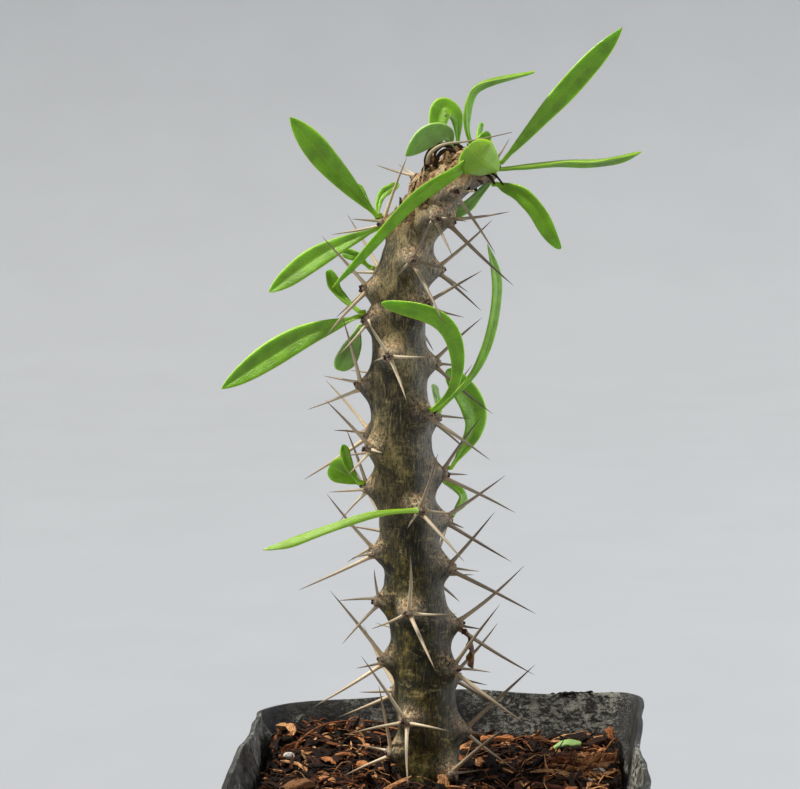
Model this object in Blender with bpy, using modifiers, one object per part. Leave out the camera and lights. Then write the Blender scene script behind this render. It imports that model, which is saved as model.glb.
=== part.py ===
"""Potted didierea: a young spiny succulent stem with leaves, in a soft square nursery pot.

Every separate piece is one object: the pot, the potting mix, the plant's stem with the spines
that grow from it, each leaf, and the loose bark chips, stones and shed leaf on the mix.
Units are metres. The origin is at the centre of the pot's underside, +Z is up and -Y is the
front. Plant tables are in millimetres, because that is how such small growth is measured.
"""
import math
import random

import bmesh
import bpy
from mathutils import Quaternion, Vector

MM = 0.001

# ---------------------------------------------------------------- driving dimensions (metres)
POT_HEIGHT = 0.082
POT_RIM_WIDTH = 0.0935
POT_BASE_WIDTH = 0.066
POT_WALL = 0.0012
POT_CORNER_RADIUS = 0.009
RIM_BAND_HEIGHT = 0.014      # the wider band round the top of the pot
RIM_BAND_STEP = 0.0009       # how far that band stands out from the wall below it
FLOOR_EDGE_INSET = 0.002     # the slanted edge between the pot's wall and its floor
FLOOR_EDGE_RISE = 0.0015
DRAIN_HOLE_RADIUS = 0.0036
DRAIN_HOLE_INSET = 0.012     # from the floor's edge to a corner hole's centre, each way
HEADSPACE = 0.010            # from the rim down to the top of the mix
FIT_GAP = 0.0003             # clearance between pieces that touch
WALL_SLANT = 1.02            # a leaning wall's level thickness over its square thickness
MIX_FOOT_INSET = 0.0022      # the slanted edge round the foot of the mix
MIX_FOOT_RISE = 0.002
ROOT_GAP = 0.0008            # clearance in the mix round the rooted end of the stem

STEM_HEIGHT = 0.145          # from the mix to the tip
STEM_GIRTH = 0.0071          # radius of the stem half way up
ROOT_DEPTH = 0.024           # how far the root end reaches into the mix
TUBERCLE_RISE = 0.0026       # how far the swelling under each areole stands out
TUBERCLE_SPREAD = 0.0030     # its half width
SPINE_RADIUS = 0.00055
LEAF_THICKNESS = 0.0008
LEAF_STALK_WIDTH = 0.0011
LEAF_LIFT = 0.0011           # from the areole's skin out to the start of a leaf
LEAF_SEAT_RADIUS = 0.0016    # leaves start on this circle round an areole
TIP_SEAT_RADIUS = 0.0026     # and on this one round the stem's tip
SPINE_SINK = 0.0012          # how deep a spine is rooted in its tubercle
SPINE_SPREAD = 0.0007        # and how far from the areole's centre
CHIP_BEVEL = 0.00025

# ---------------------------------------------------------------- growth of the stem
DRAWN_HEIGHT = 0.145         # the stem height for which the areoles' heights below are given
STEM_RINGS = 62
STEM_SIDES = 18
LAST_AREOLE = 39
FIRST_AREOLE = -4
AREOLE_START = 16.0          # height of areole 0 above the mix, mm
AREOLE_STEP = 3.4            # rise from one areole to the next, mm
AREOLE_TURN = -99.5          # turn from one areole to the next, degrees
AREOLE_PHASE = -30.0         # turn of areole 0 from the front, degrees toward +X
CROWN_START = 31             # from this areole on, growth is still short
CROWN_SHORTENING = 0.06

# How the stem leans and swells: height as a share of STEM_HEIGHT, lean toward +X in mm, and
# radius as a share of STEM_GIRTH.
STEM_FORM = (
    (-0.165, -2.4, 0.45),
    (-0.08, -2.7, 0.85),
    (0.0, -2.8, 1.04),
    (0.13, -3.6, 1.03),
    (0.30, -5.8, 1.01),
    (0.45, -8.0, 1.00),
    (0.60, -9.7, 0.99),
    (0.72, -9.9, 0.90),
    (0.80, -9.2, 0.88),
    (0.85, -7.8, 0.86),
    (0.90, -5.0, 0.86),
    (0.94, -1.2, 0.94),
    (0.975, 2.8, 0.95),
    (1.0, 4.8, 0.74),
)

# Areoles that strayed from the spiral as the stem grew: (rise mm, turn degrees).
STRAYED = {
    -4: (0.2, 28), -3: (1.0, 25), -1: (-1.0, 14), 0: (-1.0, 0), 3: (1.0, 22), 4: (-1.5, -14),
    7: (1.0, -5), 8: (-1.0, 28), 10: (0.5, 20), 11: (0.4, -32), 13: (0.6, -11), 14: (1.0, 5),
    15: (1.4, -8), 17: (-1.8, 8), 18: (1.2, -33), 20: (0.0, -20), 21: (-1.0, 11), 22: (1.5, -30),
    24: (0.0, -7), 25: (-1.0, -16), 26: (3.6, 36), 28: (0.2, -14), 29: (0.2, -42),
    31: (-2.4, -30), 32: (-3.0, -14), 33: (2.0, -17), 34: (0.5, -165), 35: (-3.6, -28),
    36: (0.4, 36), 37: (0.0, -10), 38: (-2.0, -52), 39: (-2.0, 24),
}

# Spines by areole: where each tip lies from the areole, in mm (right, back, up).
SPINES = {
    -4: ((13, -8, 14), (7, -2, 2)),
    -3: ((-2, -4, 17), (-10.5, -3, -5), (-7, 3, 1)),
    -1: ((15, -1, 16), (11, -2, -9), (5, -6, 0)),
    0: ((-9.5, -6, 17), (-13, -3, -2), (11.5, -6, -0.5), (1.5, -13, -12)),
    3: ((10, -6, 16.5), (8, -3, 0), (16.5, -9, -11)),
    4: ((-11.5, -3, 17), (-5.5, -4, -1), (-16, -2, -11)),
    6: ((14.5, 0, 14), (17, 1, -12), (5, -5, 0)),
    7: ((1, -10, 16), (11.5, -4, 1), (-8, -5, -2.5), (7, -15, -10)),
    8: ((0, -5, 8.5), (-8.5, -2, 0.5), (-7.5, -3, -9.5)),
    10: ((9.5, -3, 13.5), (6, -5, 0), (19, -4, -10)),
    11: ((-10, -2, 14), (-4, -5, -0.5), (-16.5, -3, -8.5)),
    13: ((13, 3, 10), (14.5, 3, -10.5), (3.5, -6, -1)),
    14: ((4, -11, 15), (8, -5, 0.5), (10, -14, -9), (-3, -6, -3)),
    15: ((-4, -1, 14), (-8, -3, -0.5), (-5.5, -2, -7.5)),
    17: ((8, -2, 13.5), (16, -3, -8.5), (5, 5, -1)),
    18: ((-9, -6, 12), (-5, -4, -1), (4, -6, 0), (-4, -8, -5)),
    20: ((8, 6, 12), (7, 9, -9), (-2, 6, 1)),
    21: ((13.5, -9, -9), (9, 1, -1)),
    22: ((-3, -7, 16.5), (-8, 2, 2), (-11.5, -1, -5.5)),
    24: ((10, 0, 10.5), (12.5, -2, -11.5), (6, -5, 0)),
    25: ((-5, -9, 10.5), (11, -3, 0.5), (5, -12, -9), (-3, -5, -0.5)),
    26: ((-6, -6, -8), (2, -7, -1)),
    28: ((12, -6, 8.5), (8, -1, -2.5)),
    29: ((-9, -6, 12.5), (-8, -12, -10)),
    31: ((11.5, 1, 11.5), (9, -3, -9), (6, 4, -5.5)),
    32: ((4.5, -8, 8.5), (-4, -6, -3.5), (7, -4, -1.3), (7.5, -13, -13)),
    33: ((-11.5, 2, -3), (-6.5, -4, 1), (6, -1.5, 15)),
    34: ((4, -10, -8), (7, -4, -0.5), (-4, -5, -5)),
    35: ((13, -3, 2.5), (14, -6, -14)),
    36: ((9, -4.5, -13.5), (5, -6, 0.5)),
    37: ((-9, 3, 3), (-4, 7, 3)),
    38: ((8, 5, -7),),
    39: ((3, 8, 6),),
}

# Spines on every other areole: (length mm, lift degrees, swing degrees from straight out).
SPINE_HABIT = ((18, 48, 0), (20, -30, 0), (9, 4, 62), (9, -4, -62))
SPINE_SCATTER = 0.12

# Leaves: areole, seat round the areole (degrees), width mm, how far the blade is turned from
# facing the front (degrees), twist to the tip (degrees), then the midrib's way from the seat
# to the tip in mm (right, back, up). The first 11 grow from the crown.
LEAVES = (
    (39, 40, 5.2, 25, 10, ((13.5, 0.5, 15.5), (27, -2.5, 30.5))),
    (39, -20, 5.0, 72, 0, ((13.5, 0, 1.5), (23, -1, 2), (31.5, -2, 4))),
    (38, -110, 5.0, 20, 10, ((7.5, -3.5, -3.5), (14.5, -4.5, -14.5))),
    (39, 200, 9.4, 30, 0, ((-3.5, -5.5, 2), (-7, -6.5, 5.5))),
    ("tip", -62, 4.6, 45, 0, ((-1, -6.6, -3.6), (-12.5, -8.2, -11.5), (-30.2, -11.5, -31))),
    ("tip", 50, 4.2, 55, 20, ((-1, -2, 5), (-0.5, -2.5, 10.5), (3, -3, 14.5), (14.5, -4, 17))),
    ("tip", 120, 5.0, 25, 0, ((-0.5, 1, 6.5), (-3.5, 1, 8.5), (-5, -1, 3))),
    ("tip", 190, 5.2, 25, 0, ((-1.5, -0.8, 3), (-5.5, -2, 2.4), (-10.5, -3, -2))),
    ("tip", -35, 3.0, 20, 0, ((2, 0, 1.2), (3.8, 0, 3.4))),
    ("tip", 5, 1.6, 40, 0, ((1, 3.5, 3.5), (1.5, 4.5, 5.5))),
    (38, 20, 3.6, 20, 0, ((-6.5, 4, -7), (-10.5, 5, -9.5))),
    (33, 75, 6.0, 15, 0, ((-10.5, -1.5, 11.5), (-19.5, -2.5, 22.5))),
    (33, 290, 5.4, 20, 0, ((-12.5, -1.5, -6), (-24.5, -2.5, -14.5))),
    (33, 120, 2.0, 20, 0, ((-3, 2.5, 4), (-4.5, 3.5, 7))),
    (33, 165, 2.4, 30, 30, ((0.8, 4, 5), (4.8, 6.5, 8))),
    (30, 40, 2.6, 30, 0, ((-3, 0, 2.5), (-6.5, 0.5, 3.5))),
    (26, 90, 3.2, 35, 0, ((-5.5, 3, 4.6), (-7.5, 4, 9.5))),
    (26, 160, 6.2, 15, 0, ((-14.5, 3.5, -6), (-31.5, 2, -17))),
    (26, 255, 5.2, 10, 0, ((-2, 4, -5), (-5, 6, -10.8))),
    (21, 115, 4.4, 40, 0,
     ((4.6, -4, 5.7), (5.7, -6, 12.6), (3.9, -7, 18.9), (-1.1, -7.5, 22.8), (-11.5, -8, 25))),
    (21, 50, 3.6, 60, 0, ((9, 1.5, 10.2), (13, 2.5, 26.2), (11.2, 2, 37.7))),
    (17, 60, 6.4, 15, 0, ((4.6, 3, 7.5), (4.6, 4, 13.6), (-1, 4.5, 22.3))),
    (20, 60, 3.6, 20, 0, ((-0.9, 3, 2.8), (-1.8, 3.5, 6.2))),
    (13, 25, 4.2, 20, 0, ((2, 3, 4), (-3, 5.5, 7.6))),
    (15, 60, 2.6, 30, 0, ((-2.4, 0, 4), (-3.7, 0, 8.9))),
    (15, 150, 6.0, 20, 0, ((-3.3, 0.2, 2.2), (-7, 0.4, 4.2))),
    (14, 160, 3.7, 60, 0, ((-11.5, -5, -0.5), (-26.5, -7, -5.5), (-34.5, -8, -8.1))),
)
LEAF_STATIONS = 9
BLADE_MOST = 0.586           # the greatest value of the outline's formula
LEAF_CHANNEL = 0.12          # depth of the channel along the midrib, as a share of the width

# The withered leaf still caught among the spines of areole 6.
DRIED_LEAF = (6, 222, 2.2, 30, 60, ((1.5, -2.5, -3.5), (1.5, -2.5, -8.5)))

# Loose pieces on the mix: name, form, place as shares of half the mix's width (x, y),
# size mm (long, wide, thick), turn degrees.
LOOSE_PIECES = (
    ("bark_chip_1", "chip", (-0.64, 0.76), (9, 3.0, 1.6), 12),
    ("bark_chip_2", "chip", (-0.50, 0.60), (7, 2.4, 1.4), -24),
    ("bark_chip_3", "chip", (0.86, 0.70), (6, 2.6, 1.6), 64),
    ("bark_chip_4", "chip", (0.72, 0.32), (8, 2.8, 1.8), -38),
    ("bark_chip_5", "chip", (-0.76, -0.30), (8, 3.2, 1.6), 48),
    ("bark_chip_6", "chip", (-0.30, -0.66), (10, 3.0, 1.5), -14),
    ("bark_chip_7", "chip", (0.34, -0.60), (7, 2.6, 1.8), 30),
    ("bark_chip_8", "chip", (0.70, -0.40), (9, 2.8, 1.5), 82),
    ("bark_chip_9", "chip", (-0.42, 0.16), (6, 2.2, 1.4), -60),
    ("bark_chip_10", "chip", (0.30, 0.80), (8, 2.4, 1.4), 6),
    ("white_stone", "stone", (-0.86, 0.34), (3.0, 2.4, 1.8), 20),
    ("grey_stone_1", "stone", (0.86, 0.02), (3.6, 2.8, 2.2), -30),
    ("grey_stone_2", "stone", (0.80, -0.16), (2.8, 2.2, 1.6), 70),
)
SHED_LEAF_PLACE = (0.70, 0.53)
SHED_LEAF_SIZE = (6.6, 4.4)
SHED_LEAF_TURN = 10

# ---------------------------------------------------------------- values worked out from them
SOIL_TOP = POT_HEIGHT - HEADSPACE
WALL_LEAN = (POT_RIM_WIDTH - 2 * RIM_BAND_STEP - POT_BASE_WIDTH) / 2 / POT_HEIGHT

# Names, base colours, roughness: one material a kind of piece.
MATERIALS = {
    "pot_plastic": ((0.035, 0.036, 0.037, 1.0), 0.55),
    "potting_mix": ((0.085, 0.040, 0.024, 1.0), 0.95),
    "stem_skin": ((0.190, 0.165, 0.105, 1.0), 0.70),
    "leaf_green": ((0.130, 0.360, 0.040, 1.0), 0.30),
    "dried_leaf": ((0.160, 0.060, 0.025, 1.0), 0.85),
    "bark": ((0.330, 0.130, 0.060, 1.0), 0.90),
    "stone": ((0.560, 0.540, 0.500, 1.0), 0.85),
}


# ---------------------------------------------------------------- scene and object helpers
def clear_scene():
    for item in list(bpy.data.objects):
        bpy.data.objects.remove(item, do_unlink=True)


def new_collection(name):
    group = bpy.data.collections.new(name)
    bpy.context.scene.collection.children.link(group)
    return group


def make_material(name):
    colour, roughness = MATERIALS[name]
    material = bpy.data.materials.new(name)
    material.use_nodes = True
    shader = material.node_tree.nodes["Principled BSDF"]
    shader.inputs["Base Color"].default_value = colour
    shader.inputs["Roughness"].default_value = roughness
    shader.inputs["Metallic"].default_value = 0.0
    return material


def add_object(name, mesh, group, material=None):
    item = bpy.data.objects.new(name, mesh)
    group.objects.link(item)
    if material:
        mesh.materials.append(material)
    return item


def mesh_from(work, name):
    """Turn a bmesh into a mesh whose faces point out."""
    bmesh.ops.recalc_face_normals(work, faces=work.faces)
    mesh = bpy.data.meshes.new(name)
    work.to_mesh(mesh)
    work.free()
    return mesh


def add_solidify(item, thickness, offset):
    solid = item.modifiers.new("Solidify", "SOLIDIFY")
    solid.thickness = thickness
    solid.offset = offset
    return solid


def add_boolean(item, cutter, operation, solver="EXACT"):
    cut = item.modifiers.new("Boolean", "BOOLEAN")
    cut.operation = operation
    cut.object = cutter
    cut.solver = solver
    return cut


def as_cutter(item):
    item.hide_render = True
    item.display_type = "WIRE"
    return item


# ---------------------------------------------------------------- smooth ways between points
def smooth_point(points, share):
    """A point along a smooth curve through the given points, share 0 to 1 of their number."""
    spans = len(points) - 1
    place = min(max(share, 0.0), 1.0) * spans
    i = min(int(place), spans - 1)
    t = place - i
    before = points[i - 1] if i > 0 else points[0] * 2 - points[1]
    after = points[i + 2] if i + 2 <= spans else points[spans] * 2 - points[spans - 1]
    start, end = points[i], points[i + 1]
    return 0.5 * (2 * start + (end - before) * t + (2 * before - 5 * start + 4 * end - after) * t * t
                  + (3 * start - before - 3 * end + after) * t ** 3)


def form_at(height):
    """Lean (m) and radius (m) of the stem at a height above the mix."""
    share = height / STEM_HEIGHT
    rows = STEM_FORM
    share = min(max(share, rows[0][0]), rows[-1][0])
    last = len(rows) - 1
    i = max(k for k in range(last) if rows[k][0] <= share)
    t = (share - rows[i][0]) / (rows[i + 1][0] - rows[i][0])
    values = [Vector((row[1], row[2])) for row in rows]
    lean, girth = smooth_point(values, (i + t) / last)
    return lean * MM, girth * STEM_GIRTH


def smooth_step(value, low, high):
    t = min(max((value - low) / (high - low), 0.0), 1.0)
    return t * t * (3 - 2 * t)


# ---------------------------------------------------------------- areoles
def areole_place(number):
    """Height above the mix (m) and turn from the front toward +X (radians)."""
    rise, turn = STRAYED.get(number, (0.0, 0.0))
    height = AREOLE_START + AREOLE_STEP * number + rise
    height -= CROWN_SHORTENING * max(0, number - CROWN_START) ** 2
    angle = AREOLE_PHASE + AREOLE_TURN * number + turn
    return height * MM * STEM_HEIGHT / DRAWN_HEIGHT, math.radians(angle)


def outward(turn):
    return Vector((math.sin(turn), -math.cos(turn), 0.0))


AREOLES = {n: areole_place(n) for n in range(FIRST_AREOLE, LAST_AREOLE + 1)}


def swelling(height, turn):
    """How far the tubercles lift the skin at a place on the stem."""
    girth = form_at(height)[1]
    most = 0.0
    for place, angle in AREOLES.values():
        if abs(place - height) > 3 * TUBERCLE_SPREAD:
            continue
        across = (turn - angle + math.pi) % (2 * math.pi) - math.pi
        apart = math.hypot(place - height, girth * across) / TUBERCLE_SPREAD
        most = max(most, math.exp(-apart * apart))
    return TUBERCLE_RISE * most * smooth_step(height, 0.0, TUBERCLE_SPREAD)


def stem_point(height, turn, lift):
    lean, girth = form_at(height)
    return Vector((lean, 0.0, SOIL_TOP + height)) + outward(turn) * (girth + lift)


def areole_point(number):
    height, turn = AREOLES[number]
    return stem_point(height, turn, swelling(height, turn))


# ---------------------------------------------------------------- pot and mix
def square_ring(work, half, radius, z, steps=5):
    """Vertices of a square with round corners, anticlockwise from +X."""
    ring = []
    for quarter in range(4):
        middle = math.radians(45 + 90 * quarter)
        centre = Vector((math.copysign(half - radius, math.cos(middle)),
                         math.copysign(half - radius, math.sin(middle)), z))
        for k in range(steps + 1):
            angle = math.radians(90 * quarter + 90 * k / steps)
            ring.append(work.verts.new(centre + radius * Vector((math.cos(angle),
                                                                 math.sin(angle), 0))))
    return ring


def join_rings(work, lower, upper):
    count = len(lower)
    for k in range(count):
        work.faces.new((lower[k], lower[(k + 1) % count], upper[(k + 1) % count], upper[k]))


def wall_half_width(z):
    """Half the pot's outer width at a height, below the rim band."""
    return POT_BASE_WIDTH / 2 + WALL_LEAN * z


def build_pot(group, cutters, material):
    band_bottom = POT_HEIGHT - RIM_BAND_HEIGHT
    stations = [(wall_half_width(0) - FLOOR_EDGE_INSET, 0.0),
                (wall_half_width(0), FLOOR_EDGE_RISE)]
    stations += [(wall_half_width(band_bottom * k / 3), band_bottom * k / 3) for k in (1, 2)]
    stations.append((wall_half_width(band_bottom), band_bottom))
    stations.append((wall_half_width(band_bottom) + RIM_BAND_STEP, band_bottom + RIM_BAND_STEP))
    stations.append((POT_RIM_WIDTH / 2, POT_HEIGHT))
    work = bmesh.new()
    rings = [square_ring(work, half, POT_CORNER_RADIUS, z) for half, z in stations]
    for lower, upper in zip(rings, rings[1:]):
        join_rings(work, lower, upper)
    work.faces.new(rings[0])
    pot = add_object("pot", mesh_from(work, "pot"), group, material)
    add_solidify(pot, POT_WALL, -1)

    reach = wall_half_width(0) - DRAIN_HOLE_INSET
    holes = bmesh.new()
    spots = [(x, y) for x in (-reach, reach) for y in (-reach, reach)]
    spots += [(reach, 0), (-reach, 0), (0, reach), (0, -reach)]
    for x, y in spots:
        made = bmesh.ops.create_cone(holes, cap_ends=True, segments=16, depth=6 * POT_WALL,
                                     radius1=DRAIN_HOLE_RADIUS, radius2=DRAIN_HOLE_RADIUS)
        bmesh.ops.translate(holes, verts=made["verts"], vec=(x, y, 0))
    cutter = as_cutter(add_object("drain_holes", mesh_from(holes, "drain_holes"), cutters))
    add_boolean(pot, cutter, "DIFFERENCE")
    return pot


def mix_half_width(z):
    return wall_half_width(z) - POT_WALL * WALL_SLANT - FIT_GAP


def build_mix(group, cutters, material):
    bottom = POT_WALL + FIT_GAP
    radius = POT_CORNER_RADIUS - POT_WALL - FIT_GAP
    stations = [(mix_half_width(0) - MIX_FOOT_INSET, bottom),
                (mix_half_width(MIX_FOOT_RISE), MIX_FOOT_RISE + bottom)]
    stations += [(mix_half_width(SOIL_TOP * share), SOIL_TOP * share) for share in (0.35, 0.7)]
    stations.append((mix_half_width(POT_HEIGHT - RIM_BAND_HEIGHT), SOIL_TOP))
    work = bmesh.new()
    rings = [square_ring(work, half, radius, z) for half, z in stations]
    for lower, upper in zip(rings, rings[1:]):
        join_rings(work, lower, upper)
    work.faces.new(rings[0])
    work.faces.new(rings[-1])
    mix = add_object("potting_mix", mesh_from(work, "potting_mix"), group, material)
    socket = stem_tube("root_socket", ROOT_GAP, -ROOT_DEPTH - ROOT_GAP, 2 * TUBERCLE_RISE)
    cutters.objects.link(socket)
    as_cutter(socket)
    add_boolean(mix, socket, "DIFFERENCE")
    return mix


# ---------------------------------------------------------------- stem and spines
def stem_tube(name, extra, low, high):
    """The stem's smooth tube between two heights, as a mesh, its radius grown by extra."""
    count = max(2, round(STEM_RINGS * (high - low) / STEM_HEIGHT))
    curve = bpy.data.curves.new(name, "CURVE")
    curve.dimensions = "3D"
    curve.bevel_depth = 1.0
    curve.bevel_resolution = (STEM_SIDES - 4) // 2
    curve.use_fill_caps = True
    spline = curve.splines.new("POLY")
    spline.points.add(count)
    for k, point in enumerate(spline.points):
        height = low + (high - low) * k / count
        lean, girth = form_at(height)
        point.co = (lean, 0.0, SOIL_TOP + height, 1.0)
        point.radius = girth + extra
    guide = bpy.data.objects.new(name + "_curve", curve)
    bpy.context.scene.collection.objects.link(guide)
    shown = guide.evaluated_get(bpy.context.evaluated_depsgraph_get())
    mesh = bpy.data.meshes.new_from_object(shown)
    bpy.data.objects.remove(guide, do_unlink=True)
    work = bmesh.new()
    work.from_mesh(mesh)
    bmesh.ops.remove_doubles(work, verts=work.verts, dist=0.00001)
    bmesh.ops.recalc_face_normals(work, faces=work.faces)
    work.to_mesh(mesh)
    work.free()
    return bpy.data.objects.new(name, mesh)


def swell_tubercles(mesh):
    for vertex in mesh.vertices:
        height = vertex.co.z - SOIL_TOP
        lean = form_at(height)[0]
        away = Vector((vertex.co.x - lean, vertex.co.y, 0.0))
        if away.length < 0.3 * MM or height < 0:
            continue
        turn = math.atan2(away.x, -away.y)
        vertex.co += away.normalized() * swelling(height, turn)


def spine_vectors(number, dice):
    """Where the spines of an areole point, as vectors from the areole to each tip."""
    if number in SPINES:
        return [Vector(tip) * MM for tip in SPINES[number]]
    turn = AREOLES[number][1]
    vectors = []
    for length, lift, swing in SPINE_HABIT:
        far = length * MM * (1 + dice.uniform(-SPINE_SCATTER, SPINE_SCATTER))
        up = math.radians(lift + dice.uniform(-6, 6))
        side = turn + math.radians(swing + dice.uniform(-8, 8))
        vectors.append(far * (outward(side) * math.cos(up) + Vector((0, 0, math.sin(up)))))
    return vectors


def add_spine(work, foot, tip):
    way = tip - foot
    made = bmesh.ops.create_cone(work, cap_ends=True, segments=6, radius1=SPINE_RADIUS,
                                 radius2=SPINE_RADIUS * 0.12, depth=way.length)
    turn = Vector((0, 0, 1)).rotation_difference(way)
    middle = (foot + tip) / 2
    for vertex in made["verts"]:
        vertex.co = middle + turn @ vertex.co


def build_spines():
    """All the spines in one mesh, each rooted in its tubercle."""
    dice = random.Random(7)
    work = bmesh.new()
    for number in AREOLES:
        out = outward(AREOLES[number][1])
        skin = areole_point(number)
        for vector in spine_vectors(number, dice):
            sideways = (vector - out * vector.dot(out)).normalized()
            foot = skin - out * SPINE_SINK + sideways * SPINE_SPREAD
            add_spine(work, foot, skin + vector)
    return mesh_from(work, "spines")


def build_stem(group, cutters, material):
    stem = stem_tube("stem", 0.0, -ROOT_DEPTH, STEM_HEIGHT)
    group.objects.link(stem)
    stem.data.materials.append(material)
    swell_tubercles(stem.data)
    spines = as_cutter(add_object("spines", build_spines(), cutters))
    add_boolean(stem, spines, "UNION").use_self = True
    return stem


# ---------------------------------------------------------------- leaves
def leaf_seat(where, seat):
    """The start of a leaf: on a small circle round its areole, or round the stem's tip."""
    angle = math.radians(seat)
    if where == "tip":
        base = Vector((form_at(STEM_HEIGHT)[0], 0.0, SOIL_TOP + STEM_HEIGHT))
        ring = Vector((math.cos(angle), math.sin(angle), 0.0))
        return base + ring * TIP_SEAT_RADIUS + Vector((0, 0, 2 * LEAF_LIFT))
    out = outward(AREOLES[where][1])
    side = Vector((0, 0, 1)).cross(out)
    ring = side * math.cos(angle) + Vector((0, 0, 1)) * math.sin(angle)
    return areole_point(where) + out * LEAF_LIFT + ring * LEAF_SEAT_RADIUS


def leaf_half_width(share, width):
    """A lance-shaped outline: a narrow stalk, widest past the middle, a blunt tip."""
    swell = share ** 0.8 * (1 - share ** 3) ** 0.6 / BLADE_MOST
    stalk = LEAF_STALK_WIDTH * (1 - share) + 0.0008 * share
    return max(stalk, width * swell) / 2


def leaf_mesh(name, start, route, width, face, twist):
    """A channelled blade swept along the midrib; Solidify gives it its thickness."""
    points = [start] + [start + Vector(step) * MM for step in route]
    rib = [smooth_point(points, k / (LEAF_STATIONS - 1)) for k in range(LEAF_STATIONS)]
    work = bmesh.new()
    rows = []
    normal = None
    for k, centre in enumerate(rib):
        way = (rib[min(k + 1, LEAF_STATIONS - 1)] - rib[max(k - 1, 0)]).normalized()
        if normal is None:
            front = Vector((0, -1, 0))
            normal = (front - way * front.dot(way)).normalized()
            normal = Quaternion(way, math.radians(face)) @ normal
        else:
            normal = (normal - way * normal.dot(way)).normalized()
            normal = Quaternion(way, math.radians(twist / LEAF_STATIONS)) @ normal
        side = way.cross(normal)
        half = leaf_half_width(k / (LEAF_STATIONS - 1), width * MM)
        sink = normal * half * 2 * LEAF_CHANNEL
        rows.append([work.verts.new(centre - side * half), work.verts.new(centre - sink),
                     work.verts.new(centre + side * half)])
    for lower, upper in zip(rows, rows[1:]):
        for k in range(2):
            work.faces.new((lower[k], lower[k + 1], upper[k + 1], upper[k]))
    return mesh_from(work, name)


def build_leaf(name, leaf, group, material):
    where, seat, width, face, twist, route = leaf
    mesh = leaf_mesh(name, leaf_seat(where, seat), route, width, face, twist)
    item = add_object(name, mesh, group, material)
    add_solidify(item, LEAF_THICKNESS, 0)
    return item


def build_shed_leaf(group, material):
    half = mix_half_width(SOIL_TOP)
    length, width = SHED_LEAF_SIZE
    turn = math.radians(SHED_LEAF_TURN)
    way = Vector((math.cos(turn), math.sin(turn), 0.0))
    rise = LEAF_THICKNESS / 2 + FIT_GAP + LEAF_CHANNEL * width * MM
    place = Vector((SHED_LEAF_PLACE[0] * half, SHED_LEAF_PLACE[1] * half, SOIL_TOP + rise))
    route = [way * length * share + Vector((0, 0, lift)) for share, lift in ((0.5, 0.9), (1, 1.4))]
    mesh = leaf_mesh("shed_leaf", place - way * length * MM / 2, route, width, 90, 0)
    item = add_object("shed_leaf", mesh, group, material)
    add_solidify(item, LEAF_THICKNESS, 0)
    return item


# ---------------------------------------------------------------- loose pieces on the mix
def build_loose_piece(name, form, place, size, turn, group, material):
    half = mix_half_width(SOIL_TOP)
    work = bmesh.new()
    if form == "chip":
        made = bmesh.ops.create_cube(work, size=1.0)
    else:
        made = bmesh.ops.create_uvsphere(work, u_segments=10, v_segments=6, radius=0.5)
    bmesh.ops.scale(work, verts=made["verts"], vec=Vector(size) * MM)
    item = add_object(name, mesh_from(work, name), group, material)
    item.rotation_euler = (0.0, 0.0, math.radians(turn))
    lift = FIT_GAP + size[2] * MM / 2
    item.location = (place[0] * half, place[1] * half, SOIL_TOP + lift)
    if form == "chip":
        bevel = item.modifiers.new("Bevel", "BEVEL")
        bevel.width = CHIP_BEVEL
        bevel.segments = 1
    return item


# ---------------------------------------------------------------- the whole plant
def build():
    clear_scene()
    group = new_collection("potted_didierea")
    cutters = new_collection("cutters")
    paint = {name: make_material(name) for name in MATERIALS}
    build_pot(group, cutters, paint["pot_plastic"])
    build_mix(group, cutters, paint["potting_mix"])
    build_stem(group, cutters, paint["stem_skin"])
    for number, leaf in enumerate(LEAVES, start=1):
        build_leaf(f"leaf_{number:02d}", leaf, group, paint["leaf_green"])
    build_leaf("dried_leaf", DRIED_LEAF, group, paint["dried_leaf"])
    build_shed_leaf(group, paint["leaf_green"])
    for name, form, place, size, turn in LOOSE_PIECES:
        finish = "bark" if form == "chip" else "stone"
        build_loose_piece(name, form, place, size, turn, group, paint[finish])


build()
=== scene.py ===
"""Looks of the potted didierea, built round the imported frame.

Tables of growth are in millimetres (right, back, up), as in the plant's design. Everything else
is in metres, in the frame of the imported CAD, with the pot's front toward -Y.
"""
import random
from math import copysign, cos, exp, hypot, pi, radians, sin

import bmesh
import bpy
import numpy as np
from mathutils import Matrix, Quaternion, Vector, noise


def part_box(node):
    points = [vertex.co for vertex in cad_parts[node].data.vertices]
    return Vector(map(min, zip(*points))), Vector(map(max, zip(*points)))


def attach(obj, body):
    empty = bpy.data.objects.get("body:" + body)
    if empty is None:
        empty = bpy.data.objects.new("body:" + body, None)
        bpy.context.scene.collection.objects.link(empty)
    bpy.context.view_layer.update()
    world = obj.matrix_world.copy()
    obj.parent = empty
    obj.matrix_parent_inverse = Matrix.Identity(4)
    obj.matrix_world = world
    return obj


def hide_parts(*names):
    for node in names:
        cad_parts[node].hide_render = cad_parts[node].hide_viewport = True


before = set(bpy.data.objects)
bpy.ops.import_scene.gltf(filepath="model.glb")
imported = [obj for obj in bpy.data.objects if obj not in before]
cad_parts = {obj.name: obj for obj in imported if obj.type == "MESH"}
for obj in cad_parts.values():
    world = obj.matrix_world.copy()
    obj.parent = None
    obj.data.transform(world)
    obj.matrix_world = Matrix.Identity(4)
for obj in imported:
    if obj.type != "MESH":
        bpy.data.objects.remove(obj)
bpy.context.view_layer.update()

MM = 0.001
UP = Vector((0, 0, 1))

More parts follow.
